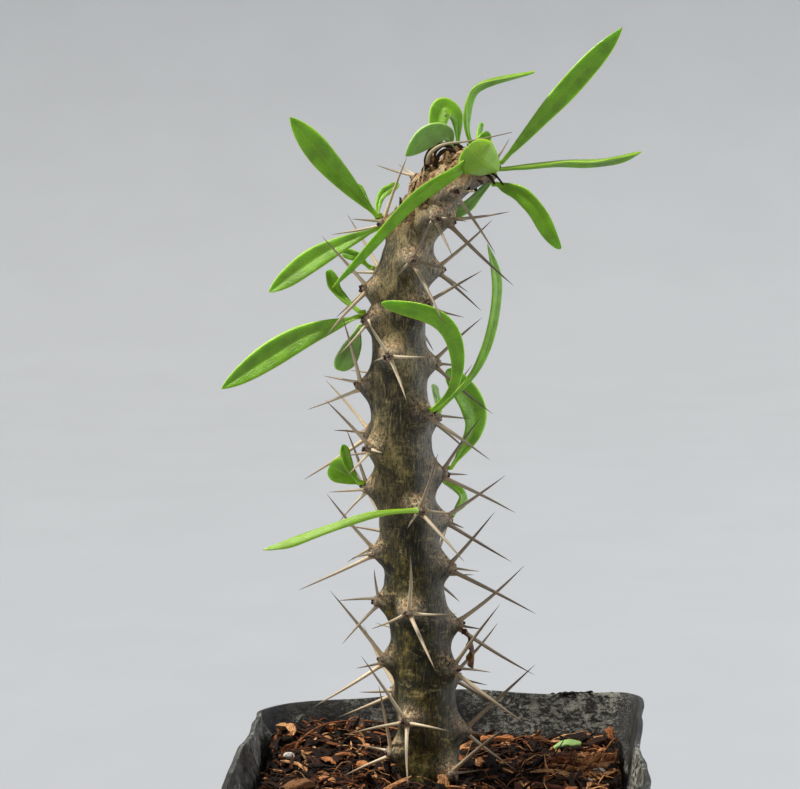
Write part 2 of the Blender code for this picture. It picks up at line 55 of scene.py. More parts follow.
# ---------------- sizes of the pot and the plant
POT_HEIGHT = 0.082
POT_RIM_WIDTH = 0.0935
POT_BASE_WIDTH = 0.066
POT_WALL = 0.0012
POT_CORNER_RADIUS = 0.009
RIM_BAND_HEIGHT = 0.014
RIM_BAND_STEP = 0.0009
DRAIN_HOLE_RADIUS = 0.0036
DRAIN_HOLE_INSET = 0.012
HEADSPACE = 0.01
STEM_HEIGHT = 0.145
STEM_GIRTH = 0.0071
TUBERCLE_RISE = 0.0026
TUBERCLE_SPREAD = 0.003
LEAF_LIFT = 0.0011
LEAF_STALK_WIDTH = 0.0011
LEAF_SEAT_RADIUS, TIP_SEAT_RADIUS = 0.0016, 0.0026
FLOOR_EDGE_INSET = 0.0022
FIT_GAP = 0.0003
WALL_SLANT = 1.02                # a leaning wall's level thickness over its square one
SOIL_TOP = POT_HEIGHT - HEADSPACE
WALL_LEAN = (POT_RIM_WIDTH - 2 * RIM_BAND_STEP - POT_BASE_WIDTH) / 2 / POT_HEIGHT

# ---------------- growth, as in the frame
FIRST_AREOLE, LAST_AREOLE = -4, 39
AREOLE_START, AREOLE_STEP = 16.0, 3.4
AREOLE_TURN, AREOLE_PHASE = -99.5, -30.0
CROWN_START, CROWN_SHORTENING = 31, 0.06
# Height as a share, lean toward +X in mm, radius as a share.
STEM_FORM = (
    (-0.165, -2.4, 0.45),
    (-0.08, -2.7, 0.85),
    (0.0, -2.8, 1.04),
    (0.13, -3.6, 1.03),
    (0.3, -5.8, 1.01),
    (0.45, -8.0, 1.00),
    (0.6, -9.7, 0.99),
    (0.72, -9.9, 0.9),
    (0.8, -9.2, 0.88),
    (0.85, -7.8, 0.86),
    (0.9, -5.0, 0.86),
    (0.94, -1.2, 0.94),
    (0.975, 2.8, 0.95),
    (1.0, 4.8, 0.74),
)
# Areoles off the spiral: rise in mm, turn in degrees.
STRAYED = {
    -4: (0.2, 28), -3: (1.0, 25), -1: (-1.0, 14), 0: (-1.0, 0), 3: (1.0, 22), 4: (-1.5, -14),
    7: (1.0, -5), 8: (-1.0, 28), 10: (0.5, 20), 11: (0.4, -32), 13: (0.6, -11), 14: (1.0, 5),
    15: (1.4, -8), 17: (-1.8, 8), 18: (1.2, -33), 20: (0.0, -20), 21: (-1.0, 11), 22: (1.5, -30),
    24: (0.0, -7), 25: (-1.0, -16), 26: (3.6, 36), 28: (0.2, -14), 29: (0.2, -42),
    31: (-2.4, -30), 32: (-3.0, -14), 33: (2.0, -17), 34: (0.5, -165), 35: (-3.6, -28),
    36: (0.4, 36), 37: (0.0, -10), 38: (-2.0, -52), 39: (-2.0, 24),
}
# Where each spine's tip lies from its areole.
SPINES = {
    -4: ((13, -8, 14), (7, -2, 2)),
    -3: ((-2, -4, 17), (-10.5, -3, -5), (-7, 3, 1)),
    -1: ((15, -1, 16), (11, -2, -9), (5, -6, 0)),
    0: ((-9.5, -6, 17), (-13, -3, -2), (11.5, -6, -0.5), (1.5, -13, -12)),
    3: ((10, -6, 16.5), (8, -3, 0), (16.5, -9, -11)),
    4: ((-11.5, -3, 17), (-5.5, -4, -1), (-16, -2, -11)),
    6: ((14.5, 0, 14), (17, 1, -12), (5, -5, 0)),
    7: ((1, -10, 16), (11.5, -4, 1), (-8, -5, -2.5), (7, -15, -10)),
    8: ((0, -5, 8.5), (-8.5, -2, 0.5), (-7.5, -3, -9.5)),
    10: ((9.5, -3, 13.5), (6, -5, 0), (19, -4, -10)),
    11: ((-10, -2, 14), (-4, -5, -0.5), (-16.5, -3, -8.5)),
    13: ((13, 3, 10), (14.5, 3, -10.5), (3.5, -6, -1)),
    14: ((4, -11, 15), (8, -5, 0.5), (10, -14, -9), (-3, -6, -3)),
    15: ((-4, -1, 14), (-8, -3, -0.5), (-5.5, -2, -7.5)),
    17: ((8, -2, 13.5), (16, -3, -8.5), (5, 5, -1)),
    18: ((-9, -6, 12), (-5, -4, -1), (4, -6, 0), (-4, -8, -5)),
    20: ((8, 6, 12), (7, 9, -9), (-2, 6, 1)),
    21: ((13.5, -9, -9), (9, 1, -1)),
    22: ((-3, -7, 16.5), (-8, 2, 2), (-11.5, -1, -5.5)),
    24: ((10, 0, 10.5), (12.5, -2, -11.5), (6, -5, 0)),
    25: ((-5, -9, 10.5), (11, -3, 0.5), (5, -12, -9), (-3, -5, -0.5)),
    26: ((-6, -6, -8), (2, -7, -1)),
    28: ((12, -6, 8.5), (8, -1, -2.5)),
    29: ((-9, -6, 12.5), (-8, -12, -10)),
    31: ((11.5, 1, 11.5), (9, -3, -9), (6, 4, -5.5)),
    32: ((4.5, -8, 8.5), (-4, -6, -3.5), (7, -4, -1.3), (7.5, -13, -13)),
    33: ((-11.5, 2, -3), (-6.5, -4, 1), (6, -1.5, 15)),
    34: ((4, -10, -8), (7, -4, -0.5), (-4, -5, -5)),
    35: ((13, -3, 2.5), (14, -6, -14)),
    36: ((9, -4.5, -13.5), (5, -6, 0.5)),
    37: ((-9, 3, 3), (-4, 7, 3)),
    38: ((8, 5, -7),),
    39: ((3, 8, 6),),
}
# Spines of every other areole: length, lift, swing from straight out.
SPINE_HABIT = ((18, 48, 0), (20, -30, 0), (9, 4, 62), (9, -4, -62))
SPINE_SCATTER = 0.12
# areole, seat round it, width, how far the face is turned from the front, twist, midrib
LEAVES = (
    (39, 40, 5.2, 25, 10, ((13.5, 0.5, 15.5), (27, -2.5, 30.5))),
    (39, -20, 5.0, 72, 0, ((13.5, 0, 1.5), (23, -1, 2), (31.5, -2, 4))),
    (38, -110, 5.0, 20, 10, ((7.5, -3.5, -3.5), (14.5, -4.5, -14.5))),
    (39, 200, 9.4, -22, 0, ((-3.5, -5.5, 2), (-7, -6.5, 5.5))),
    ("tip", -62, 4.6, 45, 0, ((-1, -6.6, -3.6), (-12.5, -8.2, -11.5), (-30.2, -11.5, -31))),
    ("tip", 50, 4.2, 55, 20, ((-1, -2, 5), (-0.5, -2.5, 10.5), (3, -3, 14.5), (14.5, -4, 17))),
    ("tip", 120, 5.0, 25, 0, ((-0.5, 1, 6.5), (-3.5, 1, 8.5), (-5, -1, 3))),
    ("tip", 190, 5.2, 25, 0, ((-1.5, -0.8, 3), (-5.5, -2, 2.4), (-10.5, -3, -2))),
    ("tip", -35, 3.0, 20, 0, ((2, 0, 1.2), (3.8, 0, 3.4))),
    ("tip", 5, 1.6, 40, 0, ((1, 3.5, 3.5), (1.5, 4.5, 5.5))),
    (38, 20, 3.6, 20, 0, ((-6.5, 4, -7), (-10.5, 5, -9.5))),
    (33, 75, 6.0, 15, 0, ((-10.5, -1.5, 11.5), (-19.5, -2.5, 22.5))),
    (33, 290, 5.4, 20, 0, ((-12.5, -1.5, -6), (-24.5, -2.5, -14.5))),
    (33, 120, 2.0, 20, 0, ((-3, 2.5, 4), (-4.5, 3.5, 7))),
    (33, 165, 2.4, 30, 30, ((0.8, 4, 5), (4.8, 6.5, 8))),
    (30, 40, 2.6, 30, 0, ((-3, 0, 2.5), (-6.5, 0.5, 3.5))),
    (26, 90, 3.2, 35, 0, ((-5.5, 3, 4.6), (-7.5, 4, 9.5))),
    (26, 160, 6.2, 15, 0, ((-14.5, 3.5, -6), (-31.5, 2, -17))),
    (26, 255, 5.2, 10, 0, ((-2, 4, -5), (-5, 6, -10.8))),
    (21, 115, 4.4, 40, 0,
     ((4.6, -4, 5.7), (5.7, -6, 12.6), (3.9, -7, 18.9), (-1.1, -7.5, 22.8), (-11.5, -8, 25))),
    (21, 50, 3.6, 60, 0, ((9, 1.5, 10.2), (13, 2.5, 26.2), (11.2, 2, 37.7))),
    (17, 60, 6.4, 15, 0, ((4.6, 3, 7.5), (4.6, 4, 13.6), (-1, 4.5, 22.3))),
    (20, 60, 3.6, 20, 0, ((-0.9, 3, 2.8), (-1.8, 3.5, 6.2))),
    (13, 25, 4.2, 20, 0, ((2, 3, 4), (-3, 5.5, 7.6))),
    (15, 60, 2.6, 30, 0, ((-2.4, 0, 4), (-3.7, 0, 8.9))),
    (15, 150, 6.0, 20, 0, ((-3.3, 0.2, 2.2), (-7, 0.4, 4.2))),
    (14, 160, 3.7, 60, 0, ((-11.5, -5, -0.5), (-26.5, -7, -5.5), (-34.5, -8, -8.1))),
)
POINTED_LEAVES = (1, 2, 5, 8, 10, 12, 13, 18, 21, 27)
ROUND_LEAVES = (3, 4, 9)
YOUNG_LEAVES = (8, 11, 19, 23)
DRIED_LEAF = (6, 222, 2.2, 30, 60, ((1.5, -2.5, -3.5), (1.5, -2.5, -8.5)))
SHED_LEAF_PLACE = (0.7, 0.53)    # as a share of the mix's half width
SHED_LEAF_SIZE = (6.6, 4.4)
SHED_LEAF_TURN = 10

# ---------------- fineness of the looks
STEM_ROWS, STEM_SIDES, DOME_ROWS = 520, 168, 14
DOME_RISE = 0.0016
LUMP_RISE, CRACK_DEPTH, RIB_RISE, CRUST_RISE = 0.00036, 0.00022, 0.00012, 0.0009
STEM_FOOT = -0.006               # how low the skin starts, from the mix
SKIN_TUCK = 0.0004               # how far the skin draws in between its tubercles
SCAR_RISE, SCAR_HEIGHT, SCAR_WIDTH = 0.0019, 0.0016, 0.0026
WORN_TIP, WORN_SIDE = (0.137, 0.144), (0.126, 0.133)   # where the bark turns to dry crust
SPINE_ROWS, SPINE_SIDES = 11, 9
SPINE_THICKNESS = 0.00056
SPINE_FLARE, SPINE_FLARE_LENGTH = 0.0004, 0.0007   # how a spine widens at its foot
CROWN_FLAKES = 70
CROWN_SPAN, CROWN_SHOULDER, CROWN_TAPER = (0.131, 0.1465), 0.138, (0.1435, 0.147)
LEAF_ROWS, LEAF_ACROSS = 46, 13
LEAF_THICKNESS = 0.0009
BLUNT_TIP, SHARP_TIP = 0.48, 0.85
SLIM_BASE, ROUND_BASE = 0.8, 0.5
WALL_ROWS, BAND_ROWS = 40, 12
MIX_RINGS = 96
CHIPS, GRAINS, FIBRES, RIM_LUMPS = 2000, 2600, 320, 26
# Banks of mix: place as a share of its half width, height, spread.
BANKS = ((-0.66, 0.74, 0.0034, 0.013), (0.88, 0.2, 0.0016, 0.01))
LEFT_HEAP, RIGHT_HEAP = (-0.64, 0.72), (0.88, 0.22)
CHIP_LENGTH, CHIP_STRETCHES = (0.0014, 0.005), (0.5, 0.8, 1.4, 2.6)
CHIP_THICKNESS = (0.0003, 0.0013)
SHED_LEAF_ROOM = 0.0042          # chips keep this far from its middle
SAG_CORNER, SAG_FRONT, SAG_RIGHT = 0.0042, 0.003, 0.0006
BEVEL, BEVEL_ANGLE = 0.00035, 50

# ---------------- camera and lights
LENS, SENSOR = 134.1, 36.0
CAMERA_PLACE = (0.0189, -0.68, 0.249)
CAMERA_TILT, CAMERA_TURN = 7.26, 2.4
GROUND = (0.328, 0.343, 0.37)
FLOOR_REACH, SWEEP_START, SWEEP_RADIUS, BACKDROP_TOP = 8.0, 1.2, 0.8, 3.0
SUN_WAY, SUN_POWER, SUN_ANGLE, SUN_COLOUR = (0.5, 0.04, -0.86), 5.0, 6, (1.0, 0.965, 0.88)
MIDDLE = (0, 0, 0.12)
# name, place, aim, size, power, colour
LAMPS = (
    ("fill", (1.15, 0.25, 0.45), MIDDLE, 0.9, 11.0, (0.92, 0.95, 1.0)),
    ("left", (-1.15, 0.35, 0.35), MIDDLE, 0.9, 4.0, (0.96, 0.97, 1.0)),
    ("front", (-0.3, -1.8, 0.9), MIDDLE, 1.4, 7.0, (1.0, 0.96, 0.88)),
    ("backdrop", (0.9, 0.9, 0.9), (0.45, 2.1, 0.15), 0.7, 1.8, (0.97, 0.98, 1.0)),
)
SKY_COLOUR, SKY_STRENGTH = (0.86, 0.9, 1.0, 1), 0.22


# ---------------- node materials
class Paint:
    """A Principled material and short calls that add nodes to it."""

    def __init__(self, name, **constants):
        self.material = bpy.data.materials.new(name)
        self.material.use_nodes = True
        self.tree = self.material.node_tree
        self.shader = self.tree.nodes["Principled BSDF"]
        self.where = self.tree.nodes.new("ShaderNodeTexCoord").outputs["Object"]
        for socket, value in constants.items():
            self.shader.inputs[socket.replace("_", " ")].default_value = value

    def put(self, kind, inputs=(), **settings):
        made = self.tree.nodes.new(kind)
        for key, value in settings.items():
            setattr(made, key, value)
        for key, value in dict(inputs).items():
            if isinstance(value, bpy.types.NodeSocket):
                self.tree.links.new(value, made.inputs[key])
            else:
                made.inputs[key].default_value = value
        return made

    def noise(self, size, detail=4, rough=0.55, stretch=(1, 1, 1), twist=0.0):
        """Cloudy noise whose blobs are about size mm across, squeezed by stretch."""
        place = self.put("ShaderNodeMapping", {
            "Vector": self.where, "Scale": tuple(s / MM for s in stretch)})
        made = self.put("ShaderNodeTexNoise", {
            "Vector": place.outputs[0], "Scale": 1.0 / size, "Detail": detail,
            "Roughness": rough, "Distortion": twist})
        return made.outputs["Fac"]

    def attribute(self, name):
        return self.put("ShaderNodeAttribute", attribute_name=name).outputs["Fac"]

    def ramp(self, factor, *stops):
        """Colour or grey by factor; each stop is (place, value)."""
        made = self.put("ShaderNodeValToRGB", {"Fac": factor})
        band = made.color_ramp
        while len(band.elements) < len(stops):
            band.elements.new(0.5)
        for element, (place, value) in zip(band.elements, stops):
            element.position = place
            element.color = (*(value if isinstance(value, tuple) else (value,) * 3), 1)
        return made.outputs["Color"]

    def mix(self, factor, first, second):
        made = self.put("ShaderNodeMix", data_type="RGBA")
        for key, value in (("Factor", factor), ("A", first), ("B", second)):
            socket = next(s for s in made.inputs if s.name == key and s.enabled)
            if isinstance(value, bpy.types.NodeSocket):
                self.tree.links.new(value, socket)
            else:
                socket.default_value = (*value, 1)
        return next(s for s in made.outputs if s.enabled)

    def lay(self, colour, tint, factor, *stops):
        """The colour with a tint laid over it by a ramp of the factor."""
        return self.mix(self.ramp(factor, *stops), colour, tint)

    def math(self, operation, first, second):
        return self.put("ShaderNodeMath", {0: first, 1: second}, operation=operation).outputs[0]

    def times(self, first, second):
        return self.math("MULTIPLY", first, second)

    def plus(self, first, second):
        return self.math("ADD", first, second)

    def most(self, first, second):
        return self.math("MAXIMUM", first, second)

    def finish(self, colour, roughness, height=None, depth=0.1, strength=1.0):
        """Links colour, roughness and a bump of depth mm, and gives the material."""
        self.tree.links.new(colour, self.shader.inputs["Base Color"])
        self.tree.links.new(roughness, self.shader.inputs["Roughness"])
        if height is not None:
            bump = self.put("ShaderNodeBump", {
                "Height": height, "Distance": depth * MM, "Strength": strength})
            self.tree.links.new(bump.outputs[0], self.shader.inputs["Normal"])
        return self.material


def darker(colour, share):
    return tuple(share * c for c in colour)


def paint_stem():
    """Bark, grey above and mossy below with painted shade in the moss, scars over the areoles, a
    dry crown and a painted pale sheen of fill light on the right side.
    """
    p = Paint("stem_skin", Specular_IOR_Level=0.3)
    broad = p.noise(9, 4, 0.6, (1, 1, 0.7), 0.8)
    cloud = p.noise(2.6, 8, 0.85, (1, 1, 0.7), 0.8)
    speckle = p.noise(0.42, 6, 0.8, (1, 1, 0.6), 0.3)
    fissures = p.noise(0.55, 6, 0.7, (1, 1, 0.16), 0.2)
    threads = p.noise(0.34, 5, 0.7, (1, 1, 0.15), 0.2)
    bands = p.noise(1.5, 5, 0.7, (0.35, 0.35, 1))
    height = p.attribute("height")
    scarred = p.attribute("scar")
    patch = p.plus(p.times(broad, 0.45), p.times(cloud, 0.55))
    bark = p.ramp(patch, (0.42, (0.01, 0.008, 0.003)), (0.48, (0.046, 0.038, 0.014)),
                  (0.52, (0.125, 0.1, 0.042)), (0.58, (0.29, 0.23, 0.11)))
    # painted shade: the moss is the lower stem's own olive tint, but its near-black patches stand
    # for shade
    moss_and_painted_shade = p.ramp(patch, (0.43, (0.004, 0.005, 0.001)), (0.49, (0.018, 0.017, 0.003)),
                  (0.54, (0.062, 0.05, 0.009)), (0.6, (0.26, 0.19, 0.045)))
    lower = p.ramp(height, (0.34, 1.0), (0.66, 0.22))
    colour = p.mix(lower, bark, moss_and_painted_shade)
    streaked = p.times(p.ramp(bands, (0.57, 0.0), (0.66, 0.6)), lower)
    colour = p.mix(streaked, colour, (0.43, 0.35, 0.14))
    # painted sheen: the upper right side, turned toward the fill light, is lightened to a pale
    # lilac grey that stands for that light
    painted_right_sheen = p.times(p.ramp(p.attribute("right"), (0.35, 0.0), (0.95, 0.75)),
                    p.ramp(height, (0.2, 0.45), (0.5, 1.0)))
    raised = p.ramp(p.attribute("rise"), (0.2, 0.0), (0.85, 0.55))
    # the pale grey laid here is partly the real bloom on the tubercles and partly the painted
    # sheen of the right side
    bloom_and_painted_sheen = p.times(p.ramp(cloud, (0.38, 0.25), (0.58, 1.0)), p.most(raised, painted_right_sheen))
    colour = p.mix(bloom_and_painted_sheen, colour, (0.25, 0.23, 0.205))
    fleck = p.times(p.ramp(threads, (0.54, 0.0), (0.62, 0.6)),
                    p.ramp(height, (0.3, 0.45), (0.6, 1.0)))
    colour = p.mix(fleck, colour, p.mix(lower, (0.36, 0.29, 0.16), (0.33, 0.25, 0.08)))
    for size, start, most, tint in ((1.1, 0.46, 0.75, (0.44, 0.215, 0.09)),
                                    (0.7, 0.48, 0.9, (0.6, 0.49, 0.29))):
        torn = p.ramp(p.noise(size, 5, 0.65), (start, 0.0), (0.56, most))
        colour = p.mix(p.times(scarred, torn), colour, tint)
    dust = p.ramp(speckle, (0.4, 0.9), (0.46, 0.0))
    cracks = p.ramp(fissures, (0.39, 0.7), (0.45, 0.0))
    colour = p.mix(p.most(dust, cracks), colour, (0.009, 0.007, 0.004))
    woody = p.ramp(p.noise(1.2, 7, 0.75), (0.36, (0.016, 0.008, 0.004)),
                   (0.45, (0.15, 0.072, 0.028)), (0.54, (0.43, 0.26, 0.115)),
                   (0.64, (0.68, 0.52, 0.31)))
    colour = p.mix(p.attribute("crust"), colour, woody)
    return p.finish(colour, p.ramp(cloud, (0.3, 0.5), (0.7, 0.72)), p.plus(fissures, speckle),
                    0.24, 0.9)


def paint_spines():
    """Horn on the left and a shaded grey on the right, which is painted shade, with dark points.
    """
    p = Paint("spine_horn", Specular_IOR_Level=0.4)
    along = p.attribute("along")
    horn = p.ramp(along, (0.0, (0.4, 0.2, 0.09)), (0.08, (0.6, 0.43, 0.23)),
                  (0.35, (0.72, 0.6, 0.41)), (0.82, (0.42, 0.32, 0.2)),
                  (1.0, (0.06, 0.035, 0.025)))
    # the grey is a shaded copy of the horn: painted shade for the spines on the right
    grey = p.ramp(along, (0.0, (0.15, 0.1, 0.06)), (0.3, (0.24, 0.185, 0.12)),
                  (0.8, (0.13, 0.1, 0.07)), (1.0, (0.03, 0.022, 0.016)))
    grain = p.noise(0.25, stretch=(1, 1, 0.4))
    colour = p.mix(p.ramp(grain, (0.5, 0.0), (0.75, 0.5)),
                   p.mix(p.attribute("tone"), horn, grey), (0.12, 0.075, 0.04))
    return p.finish(colour, p.ramp(grain, (0.3, 0.36), (0.7, 0.55)), grain, 0.05, 0.6)


def paint_grainy(name, specular, grain, tones, rough, depth):
    """A small rough thing: tones by a fine noise, roughness and bump from the same noise."""
    p = Paint(name, Specular_IOR_Level=specular)
    fine = p.noise(*grain)
    return p.finish(p.ramp(fine, *tones), p.ramp(fine, (0.3, rough[0]), (0.7, rough[1])), fine,
                    depth)


def paint_leaf(name, upper, lower, rib, edge, rough=0.3, blotch=None):
    """A waxy leaf, with a paler midrib, edge, stalk and underside."""
    p = Paint(name, Specular_IOR_Level=0.5, Subsurface_Weight=0.45,
              Subsurface_Radius=(0.0014, 0.0022, 0.0001), Subsurface_Scale=0.8)
    across = p.attribute("across")
    cloud = p.noise(4.0, 3, 0.5)
    cells = p.noise(0.45, 5, 0.7)
    skin = p.ramp(cloud, (0.34, darker(upper, 0.66)), (0.62, upper))
    under = p.ramp(cloud, (0.3, darker(lower, 0.8)), (0.66, lower))
    colour = p.mix(p.attribute("top"), under, skin)
    colour = p.lay(colour, darker(upper, 0.5), cells, (0.3, 0.35), (0.46, 0.0))
    colour = p.lay(colour, rib, across, (0.0, 0.45), (0.09, 0.0))
    colour = p.lay(colour, edge, across, (0.86, 0.0), (0.99, 0.6))
    colour = p.lay(colour, edge, p.attribute("along"), (0.0, 0.5), (0.12, 0.0))
    if blotch:
        colour = p.lay(colour, blotch, p.noise(1.6, 4), (0.48, 0.0), (0.62, 0.8))
    return p.finish(colour, p.ramp(cells, (0.3, rough), (0.7, rough + 0.14)),
                    p.plus(cells, p.times(cloud, 1.6)), 0.24, 0.8)


def paint_pot():
    """Black plastic, with a pale mineral film and dirt on its inner side."""
    p = Paint("pot_plastic", Specular_IOR_Level=0.45)
    inside = p.attribute("inside")
    cloud = p.noise(9, 4, 0.6)
    blots = p.noise(2.0, 7, 0.82, (1, 1, 1.6), 0.3)
    fine = p.noise(0.9, 7, 0.85, (1, 1, 1.5))
    film = p.times(p.ramp(blots, (0.5, 0.0), (0.55, 0.9)), p.ramp(cloud, (0.38, 0.1), (0.58, 1.0)))
    flecks = p.times(p.ramp(fine, (0.53, 0.0), (0.58, 1.0)),
                     p.ramp(blots, (0.42, 0.15), (0.52, 1.0)))
    dust = p.times(p.most(film, flecks), p.ramp(inside, (0.0, 0.16), (1.0, 1.0)))
    black = p.ramp(fine, (0.3, (0.003, 0.003, 0.003)), (0.7, (0.012, 0.012, 0.011)))
    colour = p.mix(dust, black, (0.4, 0.395, 0.34))
    dirt = p.times(p.ramp(p.noise(1.1, 5, 0.7), (0.6, 0.0), (0.67, 0.85)),
                   p.ramp(p.attribute("high"), (0.84, 1.0), (0.97, 0.25)))
    colour = p.mix(p.times(dirt, inside), colour, (0.07, 0.03, 0.014))
    return p.finish(colour, p.ramp(dust, (0.0, 0.32), (0.6, 0.9)),
                    p.plus(blots, p.times(fine, 0.6)), 0.4, 0.85)


def paint_chips(name, dark, brown, bright, pale):
    """Wood fibre that runs along each chip, in a tone of the chip's own."""
    p = Paint(name, Specular_IOR_Level=0.2)
    tone = p.attribute("tone")
    run = p.put("ShaderNodeCombineXYZ", {
        0: p.times(p.attribute("length"), 0.5), 1: p.times(p.attribute("girth"), 6.0),
        2: p.times(tone, 90.0)}).outputs[0]
    fibre = p.put("ShaderNodeTexNoise", {
        "Vector": run, "Scale": 1.0, "Detail": 4.0, "Roughness": 0.65}).outputs["Fac"]
    grain = p.noise(0.5, 6, 0.75)
    colour = p.ramp(tone, (0.0, darker(dark, 0.2)), (0.35, dark), (0.6, brown), (0.8, bright),
                    (1.0, pale))
    colour = p.lay(colour, darker(dark, 0.5), fibre, (0.42, 0.85), (0.54, 0.0))
    colour = p.lay(colour, darker(dark, 0.4), grain, (0.38, 0.75), (0.47, 0.0))
    return p.finish(colour, p.ramp(grain, (0.3, 0.7), (0.7, 0.95)),
                    p.plus(fibre, p.times(grain, 0.5)), 0.26)


def paint_ground():
    p = Paint("pale_ground", Specular_IOR_Level=0.1)
    cloud = p.noise(60, 2)
    return p.finish(p.ramp(cloud, (0.3, darker(GROUND, 0.97)), (0.7, GROUND)),
                    p.ramp(cloud, (0.3, 0.9), (0.7, 0.95)))


# ---------------- objects
def add_object(name, data):
    item = bpy.data.objects.new(name, data)
    bpy.context.scene.collection.objects.link(item)
    return item


def add_values(mesh, values):
    """Stores a number for each point under each name, for the materials to read."""
    for key, numbers in values.items():
        layer = mesh.attributes.new(key, "FLOAT", "POINT")
        layer.data.foreach_set("value", np.asarray(numbers, dtype=np.float32))


def declare(piece, node):
    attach(piece, "root")
    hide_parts(node)


def grid_faces(rows, columns, start=0):
    """Quads between rows of points, each row closed into a ring."""
    faces = []
    for i in range(rows - 1):
        a, b = start + i * columns, start + (i + 1) * columns
        for j in range(columns):
            k = (j + 1) % columns
            faces.append((a + j, a + k, b + k, b + j))
    return faces


class Form:
    """Points with numbers for their material, and faces, that become a piece."""

    def __init__(self, *names):
        self.verts, self.faces = [], []
        self.values = {name: [] for name in names}

    def put(self, place, *numbers):
        self.verts.append(place)
        for row, number in zip(self.values.values(), numbers):
            row.append(number)

    def close(self, start, columns, flip, place, *numbers):
        """Closes the ring that begins at start with a fan to a point in its middle."""
        hub = len(self.verts)
        for j in range(columns):
            a, b = start + j, start + (j + 1) % columns
            self.faces.append((hub, b, a) if flip else (hub, a, b))
        self.put(place, *numbers)

    def piece(self, name, paint, slot, node, smooth=True):
        mesh = bpy.data.meshes.new(name)
        mesh.from_pydata([tuple(v) for v in self.verts], [], [tuple(f) for f in self.faces])
        mesh.validate()
        add_values(mesh, self.values)
        if smooth:
            mesh.shade_smooth()
        mesh.materials.append(paint)
        declare(add_object(name, mesh), node)


def clamp(value):
    return min(1, max(0, value))


def smooth_step(value, low, high):
    t = min(max((value - low) / (high - low), 0.0), 1.0)
    return t * t * (3 - 2 * t)


def hill(x, y, spread):
    """1 in the middle, falling away all round over the spread."""
    return exp(-(x ** 2 + y ** 2) / spread ** 2)


def smooth_point(points, share):
    """A point along a smooth curve through the given points, share 0 to 1 of their number."""
    spans = len(points) - 1
    place = min(max(share, 0.0), 1.0) * spans
    i = min(int(place), spans - 1)
    t = place - i
    before = points[i - 1] if i > 0 else points[0] * 2 - points[1]
    after = points[i + 2] if i + 2 <= spans else points[spans] * 2 - points[spans - 1]
    start, end = points[i], points[i + 1]
    return 0.5 * (2 * start + (end - before) * t
                  + (2 * before - 5 * start + 4 * end - after) * t * t
                  + (3 * start - before - 3 * end + after) * t ** 3)


def smooth_path(stops, steps, origin=(0, 0, 0)):
    """Points along a smooth curve through stops, which are given in mm from the origin."""
    points = [Vector(origin) + Vector(stop) * MM for stop in stops]
    return [smooth_point(points, i / steps) for i in range(steps + 1)]


def form_at(height):
    """Lean and radius of the stem at a height above the mix."""
    share = min(max(height / STEM_HEIGHT, STEM_FORM[0][0]), STEM_FORM[-1][0])
    last = len(STEM_FORM) - 1
    i = max(k for k in range(last) if STEM_FORM[k][0] <= share)
    t = (share - STEM_FORM[i][0]) / (STEM_FORM[i + 1][0] - STEM_FORM[i][0])
    lean, girth = smooth_point([Vector(row[1:]) for row in STEM_FORM], (i + t) / last)
    return lean * MM, girth * STEM_GIRTH


def areole_place(number):
    rise, turn = STRAYED.get(number, (0.0, 0.0))
    height = AREOLE_START + AREOLE_STEP * number + rise
    height -= CROWN_SHORTENING * max(0, number - CROWN_START) ** 2
    return height * MM, radians(AREOLE_PHASE + AREOLE_TURN * number + turn)


AREOLES = {n: areole_place(n) for n in range(FIRST_AREOLE, LAST_AREOLE + 1)}


def outward(turn):
    return Vector((sin(turn), -cos(turn), 0.0))


def areoles_near(height):
    return [spot for spot in AREOLES.values() if abs(spot[0] - height) < 3 * TUBERCLE_SPREAD]


def skin_shape(height, turn, girth, near):
    """How far up its tubercle a place on the stem lies, and how scarred it is, 0 to 1."""
    swell, scar = 0.0, 0.0
    for place, angle in near:
        across = girth * ((turn - angle + pi) % (2 * pi) - pi)
        apart = hypot(place - height, across) / TUBERCLE_SPREAD
        swell = max(swell, exp(-apart * apart))
        above = hypot((height - place - SCAR_RISE) / SCAR_HEIGHT, across / SCAR_WIDTH)
        scar = max(scar, exp(-above * above))
    return swell * smooth_step(height, 0.0, TUBERCLE_SPREAD), scar


def areole_point(number):
    height, turn = AREOLES[number]
    lean, girth = form_at(height)
    reach = girth + TUBERCLE_RISE * skin_shape(height, turn, girth, areoles_near(height))[0]
    return Vector((lean, 0.0, SOIL_TOP + height)) + outward(turn) * reach


